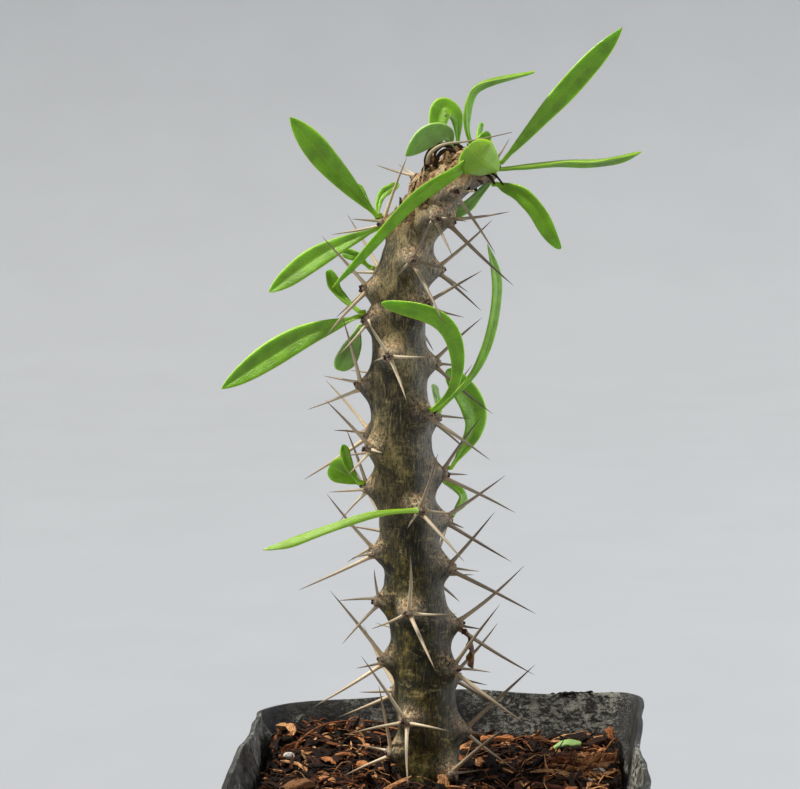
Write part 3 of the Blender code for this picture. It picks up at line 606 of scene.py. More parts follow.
# ---------------- stem
def build_stem(paint):
    turns = [2 * pi * j / STEM_SIDES for j in range(STEM_SIDES)]
    skin = Form("rise", "height", "right", "scar", "crust")
    rows = STEM_ROWS + DOME_ROWS
    for i in range(rows):
        top = max(0, i - STEM_ROWS + 1) / DOME_ROWS
        share = min(i, STEM_ROWS - 1) / (STEM_ROWS - 1)
        height = STEM_FOOT + (STEM_HEIGHT - STEM_FOOT) * share
        lean, girth = form_at(height)
        shrink = cos(top * pi / 2)
        lift = DOME_RISE * sin(top * pi / 2)
        near = areoles_near(height)
        for turn in turns:
            swell, scar = skin_shape(height, turn, girth, near)
            way = outward(turn)
            spot = Vector((lean, 0, height)) + way * girth
            lumps = noise.noise(spot * 260) * LUMP_RISE
            cracks = noise.noise(Vector((spot.x * 1300, spot.y * 1300, spot.z * 420)))
            ribs = noise.noise(Vector((spot.x * 600, spot.y * 600, spot.z * 200)))
            reach = girth - SKIN_TUCK + (TUBERCLE_RISE + SKIN_TUCK) * swell + lumps
            reach -= CRACK_DEPTH * max(0.0, cracks - 0.1) - RIB_RISE * ribs
            worn = max(smooth_step(height, *WORN_TIP), 0.9 * smooth_step(height, *WORN_SIDE)
                       * smooth_step(-way.x, 0.1, 0.7))
            reach += worn * CRUST_RISE * noise.noise(spot * 600)
            place = Vector((lean, 0, SOIL_TOP + height + lift)) + way * reach * shrink
            if top > 0:
                place.z += CRUST_RISE * noise.noise(place * 700)
            skin.put(place, swell, height / STEM_HEIGHT, max(0.0, way.x), scar * (1 - worn), worn)
    last = (rows - 1) * STEM_SIDES
    crown = sum(skin.verts[last:], Vector()) / STEM_SIDES
    skin.faces = grid_faces(rows, STEM_SIDES)
    foot = Vector((form_at(STEM_FOOT)[0], 0, SOIL_TOP + STEM_FOOT))
    skin.close(0, STEM_SIDES, True, foot, 0, 0, 0, 0, 0)
    skin.close(last, STEM_SIDES, False, crown, 0, 1, 0, 0, 1)
    skin.piece("stem_skin", paint, "stem_skin", "stem")


# ---------------- spines and areoles
class Mass(Form):
    """Gathers many small closed forms into one mesh."""

    def __init__(self):
        super().__init__("tone", "along", "length", "girth")

    def tube(self, path, radii, sides, tone, flat=1.0, dice=None, jag=0.0, roll=0.0):
        """A tapered tube along a path, capped at both ends. flat squeezes its section."""
        start = len(self.verts)
        last = len(path) - 1
        size = (path[-1] - path[0]).length / MM
        side = None
        for i, centre in enumerate(path):
            way = (path[min(i + 1, last)] - path[max(i - 1, 0)]).normalized()
            if side is None:
                guide = UP if abs(way.z) < 0.9 else Vector((1, 0, 0))
                side = Quaternion(way, roll) @ way.cross(guide).normalized()
            else:
                side = (side - way * side.dot(way)).normalized()
            over = way.cross(side)
            for j in range(sides):
                angle = 2 * pi * j / sides
                reach = radii[i] * (1 + (dice.uniform(-jag, jag) if dice else 0))
                place = centre + side * cos(angle) * reach
                place += over * sin(angle) * reach * flat
                self.put(place, tone, i / last, i / last * size,
                         cos(angle) * radii[i] / MM)
        self.faces += grid_faces(last + 1, sides, start)
        for i in (0, last):
            self.close(start + i * sides, sides, i == 0, path[i], tone, i / last,
                       size * i / last, 0)

    def blob(self, centre, axes, tone, dice, lump, rings, sides):
        """A lumpy ellipsoid; axes are its three half lengths as vectors."""
        start = len(self.verts)
        spots = []
        for i in range(1, rings):
            up = cos(pi * i / rings)
            out = sin(pi * i / rings)
            for j in range(sides):
                angle = 2 * pi * j / sides
                reach = 1 + dice.uniform(-lump, lump)
                spots.append((axes[0] * cos(angle) * out + axes[1] * sin(angle) * out
                              + axes[2] * up) * reach)
        across, around = axes[0].normalized(), axes[1].normalized()

        def numbers(spot):
            return centre + spot, tone, 0.5, spot.dot(across) / MM, spot.dot(around) / MM

        for spot in spots:
            self.put(*numbers(spot))
        self.faces += [f[::-1] for f in grid_faces(rings - 1, sides, start)]
        self.close(start, sides, False, *numbers(axes[2]))
        self.close(start + (rings - 2) * sides, sides, True, *numbers(-axes[2]))


def spine_vectors(number, dice):
    if number in SPINES:
        return [Vector(tip) * MM for tip in SPINES[number]]
    turn = AREOLES[number][1]
    vectors = []
    for length, lift, swing in SPINE_HABIT:
        far = length * MM * (1 + dice.uniform(-SPINE_SCATTER, SPINE_SCATTER))
        up = radians(lift + dice.uniform(-6, 6))
        side = turn + radians(swing + dice.uniform(-8, 8))
        vectors.append(far * (outward(side) * cos(up) + Vector((0, 0, sin(up)))))
    return vectors


def spine_radius(share, length):
    body = SPINE_THICKNESS * (0.35 + 24 * length) * (1 - share ** 1.8) ** 0.9 + 0.00002
    return body + SPINE_FLARE * exp(-share * length / SPINE_FLARE_LENGTH)


def build_spines(paint):
    dice, bend = random.Random(7), random.Random(11)
    shares = [(i / (SPINE_ROWS - 1)) ** 1.5 for i in range(SPINE_ROWS)]
    mass = Mass()
    for number, (_, turn) in AREOLES.items():
        skin, out = areole_point(number), outward(turn)
        for vector in spine_vectors(number, dice):
            sideways = (vector - out * vector.dot(out)).normalized()
            foot = skin - out * 0.0007 + sideways * 0.0008
            tip = skin + vector
            length = (tip - foot).length
            curve = Vector([bend.uniform(-1, 1) for _ in range(3)]) * 0.02 * length
            path = [foot.lerp(tip, s) + curve * sin(pi * s) for s in shares]
            # painted shade: spines on the right side get a grey tone for the shade they lie in,
            # with a random tone on top
            grey = 0.25 + 0.55 * (out.x > 0.2) + bend.uniform(-0.25, 0.2)
            mass.tube(path, [spine_radius(s, length) for s in shares], SPINE_SIDES, clamp(grey))
    mass.piece("spines", paint, "stem_skin", "stem")


def build_areoles(cork, bud):
    dice = random.Random(3)
    cushions, buds = Mass(), Mass()
    for number, (_, turn) in AREOLES.items():
        skin, out = areole_point(number), outward(turn)
        side = UP.cross(out)
        cushions.blob(skin - out * 0.0004, (side * 0.0015, UP * 0.0013, out * 0.001), 0.5, dice,
                      0.16, 9, 14)
        for _ in range(3):
            spot = skin + out * 0.0005 + side * dice.uniform(-0.0006, 0.0006)
            spot += UP * dice.uniform(-0.0005, 0.0006)
            size = dice.uniform(0.00024, 0.00042)
            buds.blob(spot, (side * size, UP * size, out * size * 1.5), 0.5, dice, 0.12, 7, 10)
    cushions.piece("areole_cushions", cork, "stem_skin", "stem")
    buds.piece("areole_buds", bud, "stem_skin", "stem")


# Curled leaf stalks at the tip: tone, thickness in mm, then stops in mm from the tip.
CROWN_CURLS = (
    (0.3, 0.6, ((-8.1, -2, -3.5), (-8.2, -2.4, -0.6), (-7.2, -2.6, 1.6), (-4.9, -2.6, 2.7),
                 (-2.6, -2.4, 2.0), (-0.8, -2, 0.0))),
    (0.38, 0.5, ((-6.4, -3.2, -2.2), (-5.6, -3.6, 0.2), (-4.0, -3.4, 1.6), (-2.0, -3.0, 1.3),
                 (-0.4, -2.6, -0.6))),
    (0.22, 0.6, ((-7.4, 0.6, -2.5), (-6.4, 1.2, 1.2), (-3.6, 1.6, 2.9), (-0.6, 1.4, 2.2),
                 (1.0, 1.0, 0.0))),
    (0.3, 0.4, ((-3.6, -4.4, -2.6), (-2.2, -4.8, -0.6), (0.0, -4.6, 0.2), (2.0, -4.0, -0.8))),
    (0.15, 0.5, ((3.4, -4.0, -3.2), (5.0, -4.8, -3.6), (6.4, -4.2, -4.6), (7.2, -3.2, -6.0))),
    (0.35, 0.4, ((5.0, -3.8, -2.8), (7.4, -4.6, -4.0), (9.2, -4.2, -6.2))),
)
OLD_SPINE = ((-8.1, -3, -1.6), (-7.6, -3.4, 0.6), (-5.6, -3.8, 2.4), (-2.9, -4, 3.2),
             (0.7, -4.5, 3.6), (6.1, -4.6, 4.6), (11.0, -5, 5.7))


def build_crown(paint, horn):
    """The dry woody tip: flakes of old bark, curled leaf stalks and one long old spine."""
    dice = random.Random(21)
    flakes, curls, spine = Mass(), Mass(), Mass()
    for _ in range(CROWN_FLAKES):
        turn = dice.uniform(-pi, pi)
        height = dice.uniform(*CROWN_SPAN)
        if height < CROWN_SHOULDER and sin(turn) > -0.2:
            turn = -abs(turn) if abs(turn) < 2.6 else -1.2
        lean, girth = form_at(height)
        shrink = 1 - 0.75 * smooth_step(height, *CROWN_TAPER)
        out = outward(turn)
        centre = Vector((lean, 0, SOIL_TOP + height)) + out * girth * shrink
        side = UP.cross(out)
        up = (UP - out * dice.uniform(-0.2, 0.8)).normalized()
        axes = (side * dice.uniform(0.0008, 0.0019), up * dice.uniform(0.001, 0.0024),
                out * dice.uniform(0.00022, 0.00045))
        tone = 0.16 if sin(turn) > 0.35 else 0.8
        flakes.blob(centre, axes, clamp(dice.gauss(tone, 0.2)), dice, 0.32, 7, 10)
    flakes.piece("crown_bark", paint, "bark", "stem", smooth=False)
    tip = Vector((form_at(STEM_HEIGHT)[0], 0, SOIL_TOP + STEM_HEIGHT))
    for tone, thick, stops in CROWN_CURLS:
        radii = [thick * MM * (1.15 - 0.45 * i / 16) for i in range(17)]
        curls.tube(smooth_path(stops, 16, tip), radii, 8, tone, 0.5, dice, 0.12,
                   dice.uniform(0.6, 2.4))
    curls.piece("crown_curls", paint, "bark", "stem")
    spine.tube(smooth_path(OLD_SPINE, 30, tip),
               [0.0005 * (1 - 0.85 * i / 30) for i in range(31)], 8, 0.5)
    spine.piece("crown_spine", horn, "stem_skin", "stem")


# ---------------- leaves
def leaf_seat(where, seat):
    """Where a leaf starts, and the way out of the stem there."""
    angle = radians(seat)
    if where == "tip":
        base = Vector((form_at(STEM_HEIGHT)[0], 0.0, SOIL_TOP + STEM_HEIGHT))
        ring = Vector((cos(angle), sin(angle), 0.0))
        return base + ring * TIP_SEAT_RADIUS + Vector((0, 0, 2 * LEAF_LIFT)), UP
    out = outward(AREOLES[where][1])
    side = UP.cross(out)
    ring = side * cos(angle) + UP * sin(angle)
    return areole_point(where) + out * LEAF_LIFT + ring * LEAF_SEAT_RADIUS, out


def leaf_half_width(share, width, tip, base):
    """Half the width of a blade: a narrow stalk, widest past its middle."""
    def outline(s):
        return s ** base * (1 - s ** 3) ** tip
    most = max(outline(k / 40) for k in range(40))
    stalk = LEAF_STALK_WIDTH * (1 - share) + 0.00005
    return max(stalk / 2, width * outline(min(share, 1.0)) / most / 2)


def build_leaf(name, start, growth, paint, slot, node, dice, root=None, fold=0.3,
               thickness=LEAF_THICKNESS, ripple=0.00016, tip=BLUNT_TIP, base=SLIM_BASE):
    """A thick channelled blade swept along its midrib, closed all round."""
    width, face, twist, route = growth
    points = [start] + [start + Vector(step) * MM for step in route]
    shares = [sin(pi / 2 * k / (LEAF_ROWS - 1)) for k in range(LEAF_ROWS)]
    rib = [smooth_point(points, share) for share in shares]
    if root is not None:
        rib, shares = [root] + rib, [0.0] + shares
    rows, count = len(rib), 2 * LEAF_ACROSS - 2
    blade = Form("top", "across", "along")
    normal = None
    phase = dice.uniform(0, 6.28)
    for k, (centre, share) in enumerate(zip(rib, shares)):
        way = (rib[min(k + 1, rows - 1)] - rib[max(k - 1, 0)]).normalized()
        before = Vector((0, -1, 0)) if normal is None else normal
        turn = face if normal is None else twist / rows
        normal = Quaternion(way, radians(turn)) @ (before - way * before.dot(way)).normalized()
        side = way.cross(normal)
        half = leaf_half_width(share, width * MM, tip, base)
        thick = thickness * min(1.0, 0.35 + half / (0.25 * width * MM)) * (1 - 0.6 * share ** 6)
        for j in range(count):
            upper = j < LEAF_ACROSS
            place = j if upper else count - j
            across = -1 + 2 * place / (LEAF_ACROSS - 1)
            wide = abs(across)
            round_off = (1 - wide ** 3.2) ** 0.5 if wide < 1 else 0.0
            lift = fold * wide ** 1.25 * half
            lift += ripple * sin(share * 17 + phase + 1.6 * (across > 0)) * wide ** 2
            lift -= 0.0001 * exp(-(across / 0.1) ** 2) * (1 if upper else 1.6)
            lift += thick * 0.5 * round_off * (1 if upper else -1)
            top = 1.0 if upper and 0 < j < LEAF_ACROSS - 1 else 0.5 * (wide > 0.99)
            blade.put(centre + side * half * across + normal * lift, top, wide, share)
    blade.faces = grid_faces(rows, count)
    for row in (0, rows - 1):
        blade.close(row * count, count, row == 0, rib[row], 0.5, 0.9, shares[row])
    blade.piece(name, paint, slot, node)


def build_leaves(green, young, brown):
    dice = random.Random(5)
    for number, (where, seat, *growth) in enumerate(LEAVES, start=1):
        start, out = leaf_seat(where, seat)
        build_leaf(f"leaf_blade_{number:02d}", start, growth,
                   young if number in YOUNG_LEAVES else green, "leaf_green",
                   f"leaf_{number:02d}", dice,
                   start - out * LEAF_LIFT * (2 if where == "tip" else 1.2),
                   tip=SHARP_TIP if number in POINTED_LEAVES else BLUNT_TIP,
                   base=ROUND_BASE if number in ROUND_LEAVES else SLIM_BASE)
    where, seat, *growth = DRIED_LEAF
    start, out = leaf_seat(where, seat)
    build_leaf("withered_blade", start, growth, brown, "dried_leaf", "dried_leaf", dice,
               start - out * LEAF_LIFT, fold=0.9, thickness=0.0004, ripple=0.0005)


def build_shed_leaf(paint):
    low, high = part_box("shed_leaf")
    centre = (Vector(low) + Vector(high)) / 2
    length, width = SHED_LEAF_SIZE
    turn = radians(SHED_LEAF_TURN)
    way = Vector((cos(turn), sin(turn), 0.0)) * length
    start = Vector((centre.x, centre.y, low[2] + 0.0009)) - way * MM / 2
    route = [way * share + Vector((0, 0, lift)) for share, lift in
             ((0.3, 1.2), (0.6, 1.5), (1, 1.0))]
    build_leaf("shed_leaf_blade", start, (width, 90, 0, route), paint, "leaf_green", "shed_leaf",
               random.Random(9), fold=0.25)


# ---------------- pot
def wall_half_width(z):
    return POT_BASE_WIDTH / 2 + WALL_LEAN * z


def square_points(half, radius, corner=12, straight=22):
    """Points round a square with round corners, anticlockwise from +X."""
    points = []
    for quarter in range(4):
        middle = radians(45 + 90 * quarter)
        cx = copysign(half - radius, cos(middle))
        cy = copysign(half - radius, sin(middle))
        for k in range(corner + 1):
            angle = radians(90 * quarter + 90 * k / corner)
            points.append((cx + radius * cos(angle), cy + radius * sin(angle)))
        x, y = points[-1]
        angle = radians(90 * (quarter + 1))
        for k in range(1, straight):
            step = 2 * (half - radius) * k / straight
            points.append((x - sin(angle) * step, y + cos(angle) * step))
    return points


def soft_warp(x, y, z):
    """How a thin soft pot has sagged and bowed: most at its rim, least at its base."""
    share = smooth_step(z, 0.2 * POT_HEIGHT, POT_HEIGHT)
    half = POT_RIM_WIDTH / 2
    corner = exp(-((x + half) / 0.028) ** 2 - ((y - half) / 0.055) ** 2)
    front = smooth_step(-y, 0.4 * half, half)
    back = smooth_step(y, 0.0, half)
    right = smooth_step(x, 0.4 * half, half)
    sag = -SAG_CORNER * corner - front * (SAG_FRONT * (1 - right) + SAG_RIGHT * right)
    sag += 0.00045 * sin(150 * x + 0.8) * back
    bow_x = right * (0.0006 - 0.0012 * cos(65 * (y + 0.004)))
    bow_x += 0.0005 * sin(65 * y + 0.6) + 0.00022 * sin(190 * y)
    bow_y = 0.0005 * sin(58 * x + 2.0) + 0.00025 * sin(170 * x + 1)
    bow_x += 0.0005 * noise.noise(Vector((x, y, z)) * 110)
    bow_y += 0.0005 * noise.noise(Vector((y, z, x)) * 110)
    return x + bow_x * share, y + bow_y * share, z + sag * share


def pot_stations():
    """Half width and height of each ring of points on the pot's outer side, from below."""
    band = POT_HEIGHT - RIM_BAND_HEIGHT
    foot, low = wall_half_width(0), wall_half_width(band)
    stations = [(foot - FLOOR_EDGE_INSET, 0.0), (foot - 0.0008, 0.0003), (foot, 0.0014)]
    for k in range(1, WALL_ROWS):
        z = band * k / WALL_ROWS
        stations.append((wall_half_width(z), z))
    stations += [(low + RIM_BAND_STEP * t, band + 0.001 * smooth_step(t, 0, 1))
                 for t in (0.15, 0.5, 0.85)]
    for k in range(BAND_ROWS + 1):
        z = band + 0.0014 + (RIM_BAND_HEIGHT - 0.0014) * k / BAND_ROWS
        stations.append((low + RIM_BAND_STEP + WALL_LEAN * (z - band), z))
    return stations


def drain_holes():
    """A cutter for the eight holes round the pot's floor."""
    holes = bmesh.new()
    reach = wall_half_width(0) - DRAIN_HOLE_INSET
    for x, y in [(x, y) for x in (-reach, 0, reach) for y in (-reach, 0, reach) if x or y]:
        made = bmesh.ops.create_cone(holes, cap_ends=True, segments=40, depth=8 * POT_WALL,
                                     radius1=DRAIN_HOLE_RADIUS, radius2=DRAIN_HOLE_RADIUS)
        bmesh.ops.translate(holes, verts=made["verts"], vec=(x, y, 0))
    mesh = bpy.data.meshes.new("drill")
    holes.to_mesh(mesh)
    holes.free()
    return add_object("drill", mesh)


def on_inner_side(x, y, z):
    """1 for a point of the pot that lies on its inner side, or else 0."""
    band = RIM_BAND_STEP if z > POT_HEIGHT - RIM_BAND_HEIGHT + 0.0005 else 0
    flat = wall_half_width(z) + band - POT_CORNER_RADIUS
    depth = POT_CORNER_RADIUS - hypot(max(0, abs(x) - flat), max(0, abs(y) - flat))
    return 1.0 if depth > POT_WALL * 0.55 and z > 0.003 else 0.0


def build_pot(paint):
    work = bmesh.new()
    rings = [[work.verts.new(soft_warp(x, y, z)) for x, y in
              square_points(half, POT_CORNER_RADIUS)] for half, z in pot_stations()]
    count = len(rings[0])
    for lower, upper in zip(rings, rings[1:]):
        for k in range(count):
            after = (k + 1) % count
            work.faces.new((lower[k], lower[after], upper[after], upper[k]))
    work.faces.new(rings[0])
    bmesh.ops.recalc_face_normals(work, faces=work.faces)
    mesh = bpy.data.meshes.new("pot_shell")
    work.to_mesh(mesh)
    work.free()
    pot = add_object("pot_shell", mesh)
    mesh.materials.append(paint)
    solid = pot.modifiers.new("Solidify", "SOLIDIFY")
    solid.thickness = POT_WALL
    solid.offset = -1
    cut = pot.modifiers.new("Boolean", "BOOLEAN")
    cut.object = drain_holes()
    cut.operation = "DIFFERENCE"
    shown = pot.evaluated_get(bpy.context.evaluated_depsgraph_get())
    done = bpy.data.meshes.new_from_object(shown)
    bpy.data.objects.remove(cut.object, do_unlink=True)
    pot.modifiers.clear()
    pot.data = done
    add_values(done, {"inside": [on_inner_side(*v.co) for v in done.vertices],
                      "high": [v.co.z / POT_HEIGHT for v in done.vertices]})
    bevel = pot.modifiers.new("Bevel", "BEVEL")
    bevel.width = BEVEL
    bevel.segments = 3
    bevel.limit_method = "ANGLE"
    bevel.angle_limit = radians(BEVEL_ANGLE)
    done.shade_smooth()
    declare(pot, "pot")


# ---------------- potting mix
def mix_half_width(z):
    return wall_half_width(z) - POT_WALL * WALL_SLANT - FIT_GAP


def mix_height(x, y):
    """Height of the mix: crumbs everywhere, banked up at the back left and the right."""
    half = mix_half_width(SOIL_TOP)
    bank = sum(rise * hill(x - right * half, y - back * half, spread)
               for right, back, rise, spread in BANKS)
    wave = noise.noise(Vector((x, y, 0)) * 90) * 0.0014
    crumbs = noise.noise(Vector((x, y, 5)) * 420) * 0.0007
    fine = noise.noise(Vector((x, y, 9)) * 1300) * 0.00035
    return SOIL_TOP - 0.0008 + bank + wave + crumbs + fine


def build_mix(paint):
    half = mix_half_width(POT_HEIGHT - RIM_BAND_HEIGHT)
    edge = square_points(half, POT_CORNER_RADIUS - POT_WALL, 18, 55)
    bed = Form()
    for ring in range(1, MIX_RINGS + 1):
        share = (ring / MIX_RINGS) ** 0.8
        for x, y in edge:
            bed.put((x * share, y * share, mix_height(x * share, y * share)))
    floor = POT_WALL + FIT_GAP
    sides = [(mix_half_width(SOIL_TOP * t), SOIL_TOP * t) for t in (0.85, 0.6, 0.3, 0.06)]
    sides.append((mix_half_width(0) - FLOOR_EDGE_INSET, floor))
    for width, level in sides:
        for x, y in edge:
            bed.put((x * width / half, y * width / half, level))
    rows, count = MIX_RINGS + len(sides), len(edge)
    bed.faces = [f[::-1] for f in grid_faces(rows, count)]
    bed.close(0, count, False, (0, 0, mix_height(0, 0)))
    bed.close((rows - 1) * count, count, True, (0, 0, floor))
    bed.piece("mix_bed", paint, "potting_mix", "potting_mix")


def scatter_place(dice, half):
    """A random place on the mix, clear of the stem."""
    while True:
        x, y = dice.uniform(-half, half), dice.uniform(-half, half)
        if hypot(x - form_at(0)[0], y) > 1.25 * STEM_GIRTH:
            return x, y


def reach_of(path):
    """How far a path comes from the pot's middle, toward any wall."""
    return max(max(abs(p.x), abs(p.y)) for p in path)


def lay_chips(chips, dice, half):
    """Flat frayed splinters, a quarter of them heaped, brightest in the heaps."""
    leaf = Vector(SHED_LEAF_PLACE) * half
    last = 6
    for k in range(CHIPS):
        x, y = scatter_place(dice, half)
        if k % 4 == 0:
            right, back = RIGHT_HEAP if k % 8 else LEFT_HEAP
            x = right * half + dice.gauss(0, 0.0055)
            y = back * half + dice.gauss(0, 0.011)
        length = dice.uniform(*CHIP_LENGTH) * dice.choice(CHIP_STRETCHES)
        turn = dice.uniform(0, pi)
        tilt = dice.gauss(0, 0.34)
        way = Vector((cos(turn) * cos(tilt), sin(turn) * cos(tilt),
                      sin(tilt)))
        centre = Vector((x, y, mix_height(x, y) + dice.uniform(0.0001, 0.0016)))
        bow = Vector((dice.uniform(-1, 1), dice.uniform(-1, 1), dice.uniform(0, 1))) * length * 0.1
        thick = min(dice.uniform(*CHIP_THICKNESS), 0.34 * length)
        path = [centre + way * length * (i / last - 0.5) + bow * sin(pi * i / last)
                for i in range(last + 1)]
        frayed = dice.uniform(0.2, 0.9)
        radii = [thick * (0.18 + 0.82 * max(0, sin(pi * i / last)) ** frayed)
                 * dice.uniform(0.75, 1.15) for i in range(last + 1)]
        apart = min((p.xy - leaf).length for p in path)
        if reach_of(path) >= half - 0.3 * thick or apart <= SHED_LEAF_ROOM:
            continue
        heap = max(hill(x + 0.66 * half, y - 0.66 * half, 0.012),
                   hill(x - 0.88 * half, 0.5 ** 0.5 * (y - 0.22 * half), 0.014))
        bright = dice.random() < 0.16 + (0.25 if x < 0 else 0.84) * heap
        tone = 1 - abs(dice.gauss(0, 0.2)) if bright else dice.gauss(0.2, 0.2)
        chips.tube(path, radii, 6, clamp(tone), dice.uniform(0.15, 0.5), dice, 0.34,
                   dice.gauss(0, 0.5))


def lay_crumbs(crumbs, dice, half):
    for _ in range(GRAINS):
        x, y = scatter_place(dice, half)
        size = dice.uniform(0.00018, 0.0007)
        axes = [Vector([dice.uniform(-1, 1) for _ in range(3)]).normalized() for _ in range(2)]
        axes[1] = (axes[1] - axes[0] * axes[1].dot(axes[0])).normalized()
        axes.append(axes[0].cross(axes[1]))
        axes = [a * size * dice.uniform(0.5, 1.4) for a in axes]
        centre = Vector((x, y, mix_height(x, y) + size * dice.uniform(-0.2, 0.9)))
        crumbs.blob(centre, axes, clamp(dice.gauss(0.3, 0.26)), dice, 0.3, 4, 5)


def lay_fibres(fibres, dice, half):
    last = 11
    for _ in range(FIBRES):
        x, y = scatter_place(dice, half)
        turn = dice.uniform(0, 2 * pi)
        curl = dice.uniform(-260, 260)
        step = dice.uniform(0.0006, 0.0016)
        hop = dice.uniform(0.0004, 0.0034)
        path = []
        for i in range(last + 1):
            rise = 0.0005 + hop * sin(pi * i / last)
            path.append(Vector((x, y, mix_height(x, y) + rise)))
            turn += curl * step + dice.uniform(-0.12, 0.12)
            x += cos(turn) * step
            y += sin(turn) * step
        if reach_of(path) < half:
            thick = dice.uniform(0.00006, 0.00016)
            radii = [thick * (1 - 0.5 * abs(i / last - 0.4)) for i in range(last + 1)]
            fibres.tube(path, radii, 5, clamp(dice.gauss(0.66, 0.2)))


# Single things seen on the mix: a fibre's arch, a stub of wood and a splinter at the stem.
FIBRE_ARCH = ((-35.6, 18, 71.6), (-35.2, 20, 74.8), (-32.6, 23, 76.7), (-29.8, 26, 77.8),
              (-27.0, 28, 78.2), (-22.0, 31, 78.0), (-16.0, 34, 76.9), (-11.5, 36, 75.6))
STUB = ((-11.8, -1, 70), (-12.2, -1.4, 73), (-12.6, -1.2, 76.2))
SPLINTER = ((0.6, -9.4, 75.2), (1.0, -10.8, 73), (1.2, -12, 70.6))


def build_litter(paint):
    """Coir chips, splinters, crumbs and fibres that lie on the mix."""
    dice = random.Random(17)
    half = mix_half_width(SOIL_TOP) - 0.0004
    chips, crumbs, fibres = Mass(), Mass(), Mass()
    lay_chips(chips, dice, half)
    lay_crumbs(crumbs, dice, half)
    lay_fibres(fibres, dice, half)
    fibres.tube(smooth_path(FIBRE_ARCH, 40),
                [0.0003 * (1 - 0.5 * i / 40) for i in range(41)], 8, 0.72)
    chips.tube(smooth_path(STUB, 8), [0.0013 * (1.1 - 0.5 * (i / 8) ** 2) for i in range(9)], 9,
               0.22, 0.8, dice, 0.22)
    swell = [sin(pi * (0.15 + 0.7 * i / 8)) for i in range(9)]
    chips.tube(smooth_path(SPLINTER, 8), [0.0011 * (0.5 + 0.8 * s) for s in swell], 8, 0.92, 0.4,
               dice, 0.25)
    chips.piece("mix_chips", paint, "bark", "potting_mix", smooth=False)
    crumbs.piece("mix_crumbs", paint, "bark", "potting_mix", smooth=False)
    fibres.piece("mix_fibres", paint, "bark", "potting_mix")


def roughen(name, node, paint, slot, tone, lump, seed, cuts):
    """A finer, rougher copy of a small loose piece, where the frame has it."""
    work = bmesh.new()
    work.from_mesh(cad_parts[node].data)
    bmesh.ops.remove_doubles(work, verts=work.verts, dist=0.00001)
    bmesh.ops.dissolve_limit(work, angle_limit=0.02, verts=work.verts, edges=work.edges)
    bmesh.ops.triangulate(work, faces=work.faces)
    bmesh.ops.subdivide_edges(work, edges=work.edges, cuts=cuts, use_grid_fill=True)
    bmesh.ops.recalc_face_normals(work, faces=work.faces)
    work.normal_update()
    shift = Vector((seed * 3.1, seed * 1.7, seed * 2.3))
    rough = Form("tone")
    for vertex in work.verts:
        spot = vertex.co * 900 + shift
        push = noise.noise(spot * 0.5) * lump + noise.noise(spot * 1.7) * lump * 0.45
        rough.put(vertex.co + vertex.normal * push, tone)
    work.verts.index_update()
    rough.faces = [[v.index for v in f.verts] for f in work.faces]
    work.free()
    rough.piece(name, paint, slot, node, slot == "stone")


def build_loose_pieces(bark, stone):
    dice = random.Random(2)
    for k in range(1, 11):
        roughen(f"bark_flake_{k}", f"bark_chip_{k}", bark, "bark", dice.uniform(0.55, 1.0),
                0.00045, k, 4)
    for k, node in enumerate(("white_stone", "grey_stone_1", "grey_stone_2"), start=20):
        roughen(node + "_rough", node, stone, "stone", 0.5, 0.00035, k, 3)


def build_rim_dirt(paint):
    """A little dried mix stuck on the back of the rim."""
    dice = random.Random(31)
    dirt = Mass()
    for _ in range(RIM_LUMPS):
        x = dice.gauss(30.5, 2.6) * MM
        y = (POT_RIM_WIDTH / 2 - 0.0006) + dice.uniform(-0.0005, 0.0003)
        spot = Vector(soft_warp(x, y, POT_HEIGHT)) + Vector((0, 0, dice.uniform(-0.0001, 0.0005)))
        size = dice.uniform(0.0003, 0.0007)
        axes = (Vector((size * 1.3, 0, 0)), Vector((0, size * 0.9, 0)), Vector((0, 0, size * 0.7)))
        dirt.blob(spot, axes, dice.uniform(0.0, 0.35), dice, 0.3, 5, 7)
    dirt.piece("rim_dirt", paint, "potting_mix", "potting_mix", smooth=False)


# ---------------- stage, light and camera
def build_stage():
    """A pale floor that sweeps up into a pale backdrop."""
    profile = [(-2.5, 0.0), (SWEEP_START, 0.0)]
    for degrees in range(6, 91, 6):
        turn = radians(degrees)
        profile.append((SWEEP_START + SWEEP_RADIUS * sin(turn), SWEEP_RADIUS * (1 - cos(turn))))
    profile.append((SWEEP_START + SWEEP_RADIUS, BACKDROP_TOP))
    verts = [(x, y, z - 0.0002) for y, z in profile for x in (-FLOOR_REACH, FLOOR_REACH)]
    faces = [(2 * i, 2 * i + 1, 2 * i + 3, 2 * i + 2) for i in range(len(profile) - 1)]
    mesh = bpy.data.meshes.new("floor")
    mesh.from_pydata(verts, [], faces)
    mesh.shade_smooth()
    mesh.materials.append(paint_ground())
    add_object("floor", mesh)


def facing(way):
    return Vector(way).to_track_quat("-Z", "Y").to_euler()


def build_light():
    sun = bpy.data.lights.new("key", "SUN")
    sun.energy = SUN_POWER
    sun.angle = radians(SUN_ANGLE)
    sun.color = SUN_COLOUR
    add_object("key", sun).rotation_euler = facing(SUN_WAY)
    for name, place, aim, size, power, colour in LAMPS:
        lamp = bpy.data.lights.new(name, "AREA")
        lamp.shape = "DISK"
        lamp.size = size
        lamp.energy = power
        lamp.color = colour
        item = add_object(name, lamp)
        item.location = place
        item.rotation_euler = facing(Vector(aim) - Vector(place))
    world = bpy.data.worlds.new("studio")
    world.use_nodes = True
    sky = world.node_tree.nodes["Background"]
    sky.inputs["Color"].default_value = SKY_COLOUR
    sky.inputs["Strength"].default_value = SKY_STRENGTH
    bpy.context.scene.world = world
    bpy.context.scene.view_settings.view_transform = "Standard"


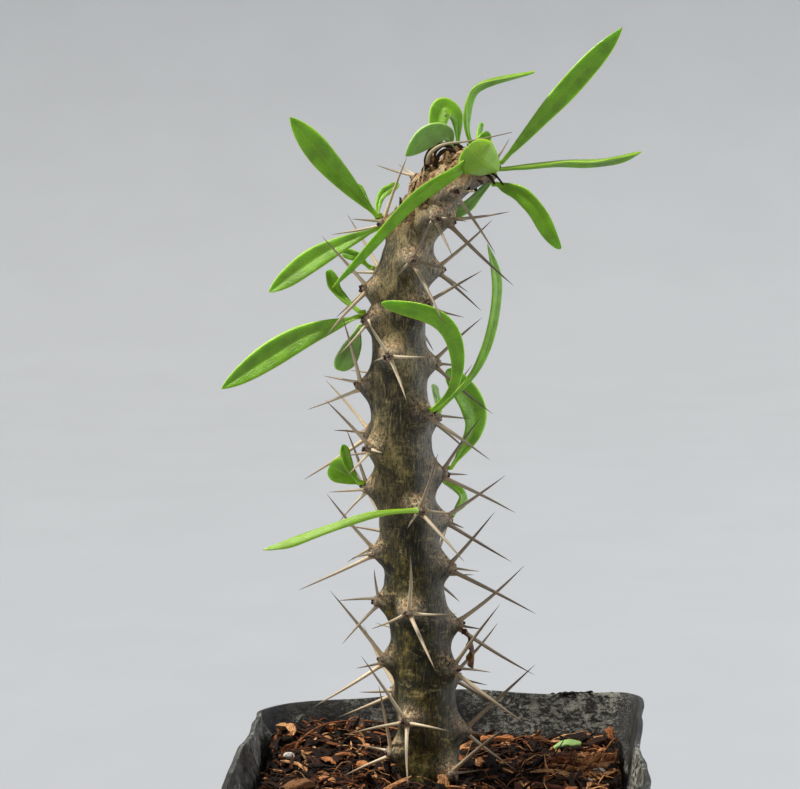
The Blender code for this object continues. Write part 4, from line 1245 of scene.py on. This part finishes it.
def build_camera():
    lens = bpy.data.cameras.new("camera")
    lens.lens = LENS
    lens.sensor_width = SENSOR
    lens.clip_start = 0.01
    camera = add_object("camera", lens)
    camera.location = CAMERA_PLACE
    camera.rotation_euler = (radians(90 - CAMERA_TILT), 0.0, radians(CAMERA_TURN))
    bpy.context.scene.camera = camera


# ---------------- the whole
def build():
    build_camera()
    build_light()
    build_stage()
    bark = paint_chips("bark", (0.016, 0.007, 0.004), (0.12, 0.038, 0.014),
                       (0.42, 0.145, 0.046), (0.78, 0.41, 0.18))
    husk = paint_chips("crown_husk", (0.03, 0.017, 0.009), (0.13, 0.078, 0.036),
                       (0.4, 0.25, 0.12), (0.7, 0.52, 0.3))
    stone = paint_grainy("stone", 0.3, (1.1, 5, 0.65), (
        (0.32, (0.25, 0.23, 0.2)), (0.55, (0.56, 0.53, 0.48)), (0.7, (0.78, 0.76, 0.71))),
        (0.8, 0.95), 0.2)
    cork = paint_grainy("areole_cork", 0.2, (0.4, 5, 0.7), (
        (0.34, (0.045, 0.028, 0.018)), (0.5, (0.2, 0.15, 0.105)),
        (0.66, (0.48, 0.38, 0.27))), (0.7, 0.9), 0.2)
    bud = paint_grainy("areole_bud", 0.4, (0.3, 3), (
        (0.38, (0.008, 0.004, 0.003)), (0.66, (0.085, 0.018, 0.012))), (0.4, 0.65), 0.08)
    soil = paint_grainy("potting_mix", 0.2, (0.8, 6, 0.7), (
        (0.38, (0.003, 0.002, 0.0015)), (0.54, (0.014, 0.008, 0.005)),
        (0.68, (0.07, 0.03, 0.015))), (0.85, 0.98), 0.6)
    green = paint_leaf("leaf_green", (0.19, 0.42, 0.003), (0.24, 0.43, 0.02),
                       (0.3, 0.51, 0.02), (0.37, 0.56, 0.04), 0.24)
    young = paint_leaf("leaf_green_pale", (0.23, 0.41, 0.085), (0.29, 0.45, 0.15),
                       (0.32, 0.5, 0.12), (0.4, 0.56, 0.18), 0.36)
    brown = paint_leaf("dried_leaf", (0.08, 0.016, 0.008), (0.11, 0.03, 0.014),
                       (0.04, 0.012, 0.006), (0.15, 0.045, 0.022), 0.7, (0.01, 0.005, 0.003))
    horn = paint_spines()
    build_stem(paint_stem())
    build_spines(horn)
    build_areoles(cork, bud)
    build_crown(husk, horn)
    build_leaves(green, young, brown)
    build_shed_leaf(young)
    build_pot(paint_pot())
    build_mix(soil)
    build_litter(bark)
    build_rim_dirt(bark)
    build_loose_pieces(bark, stone)


build()
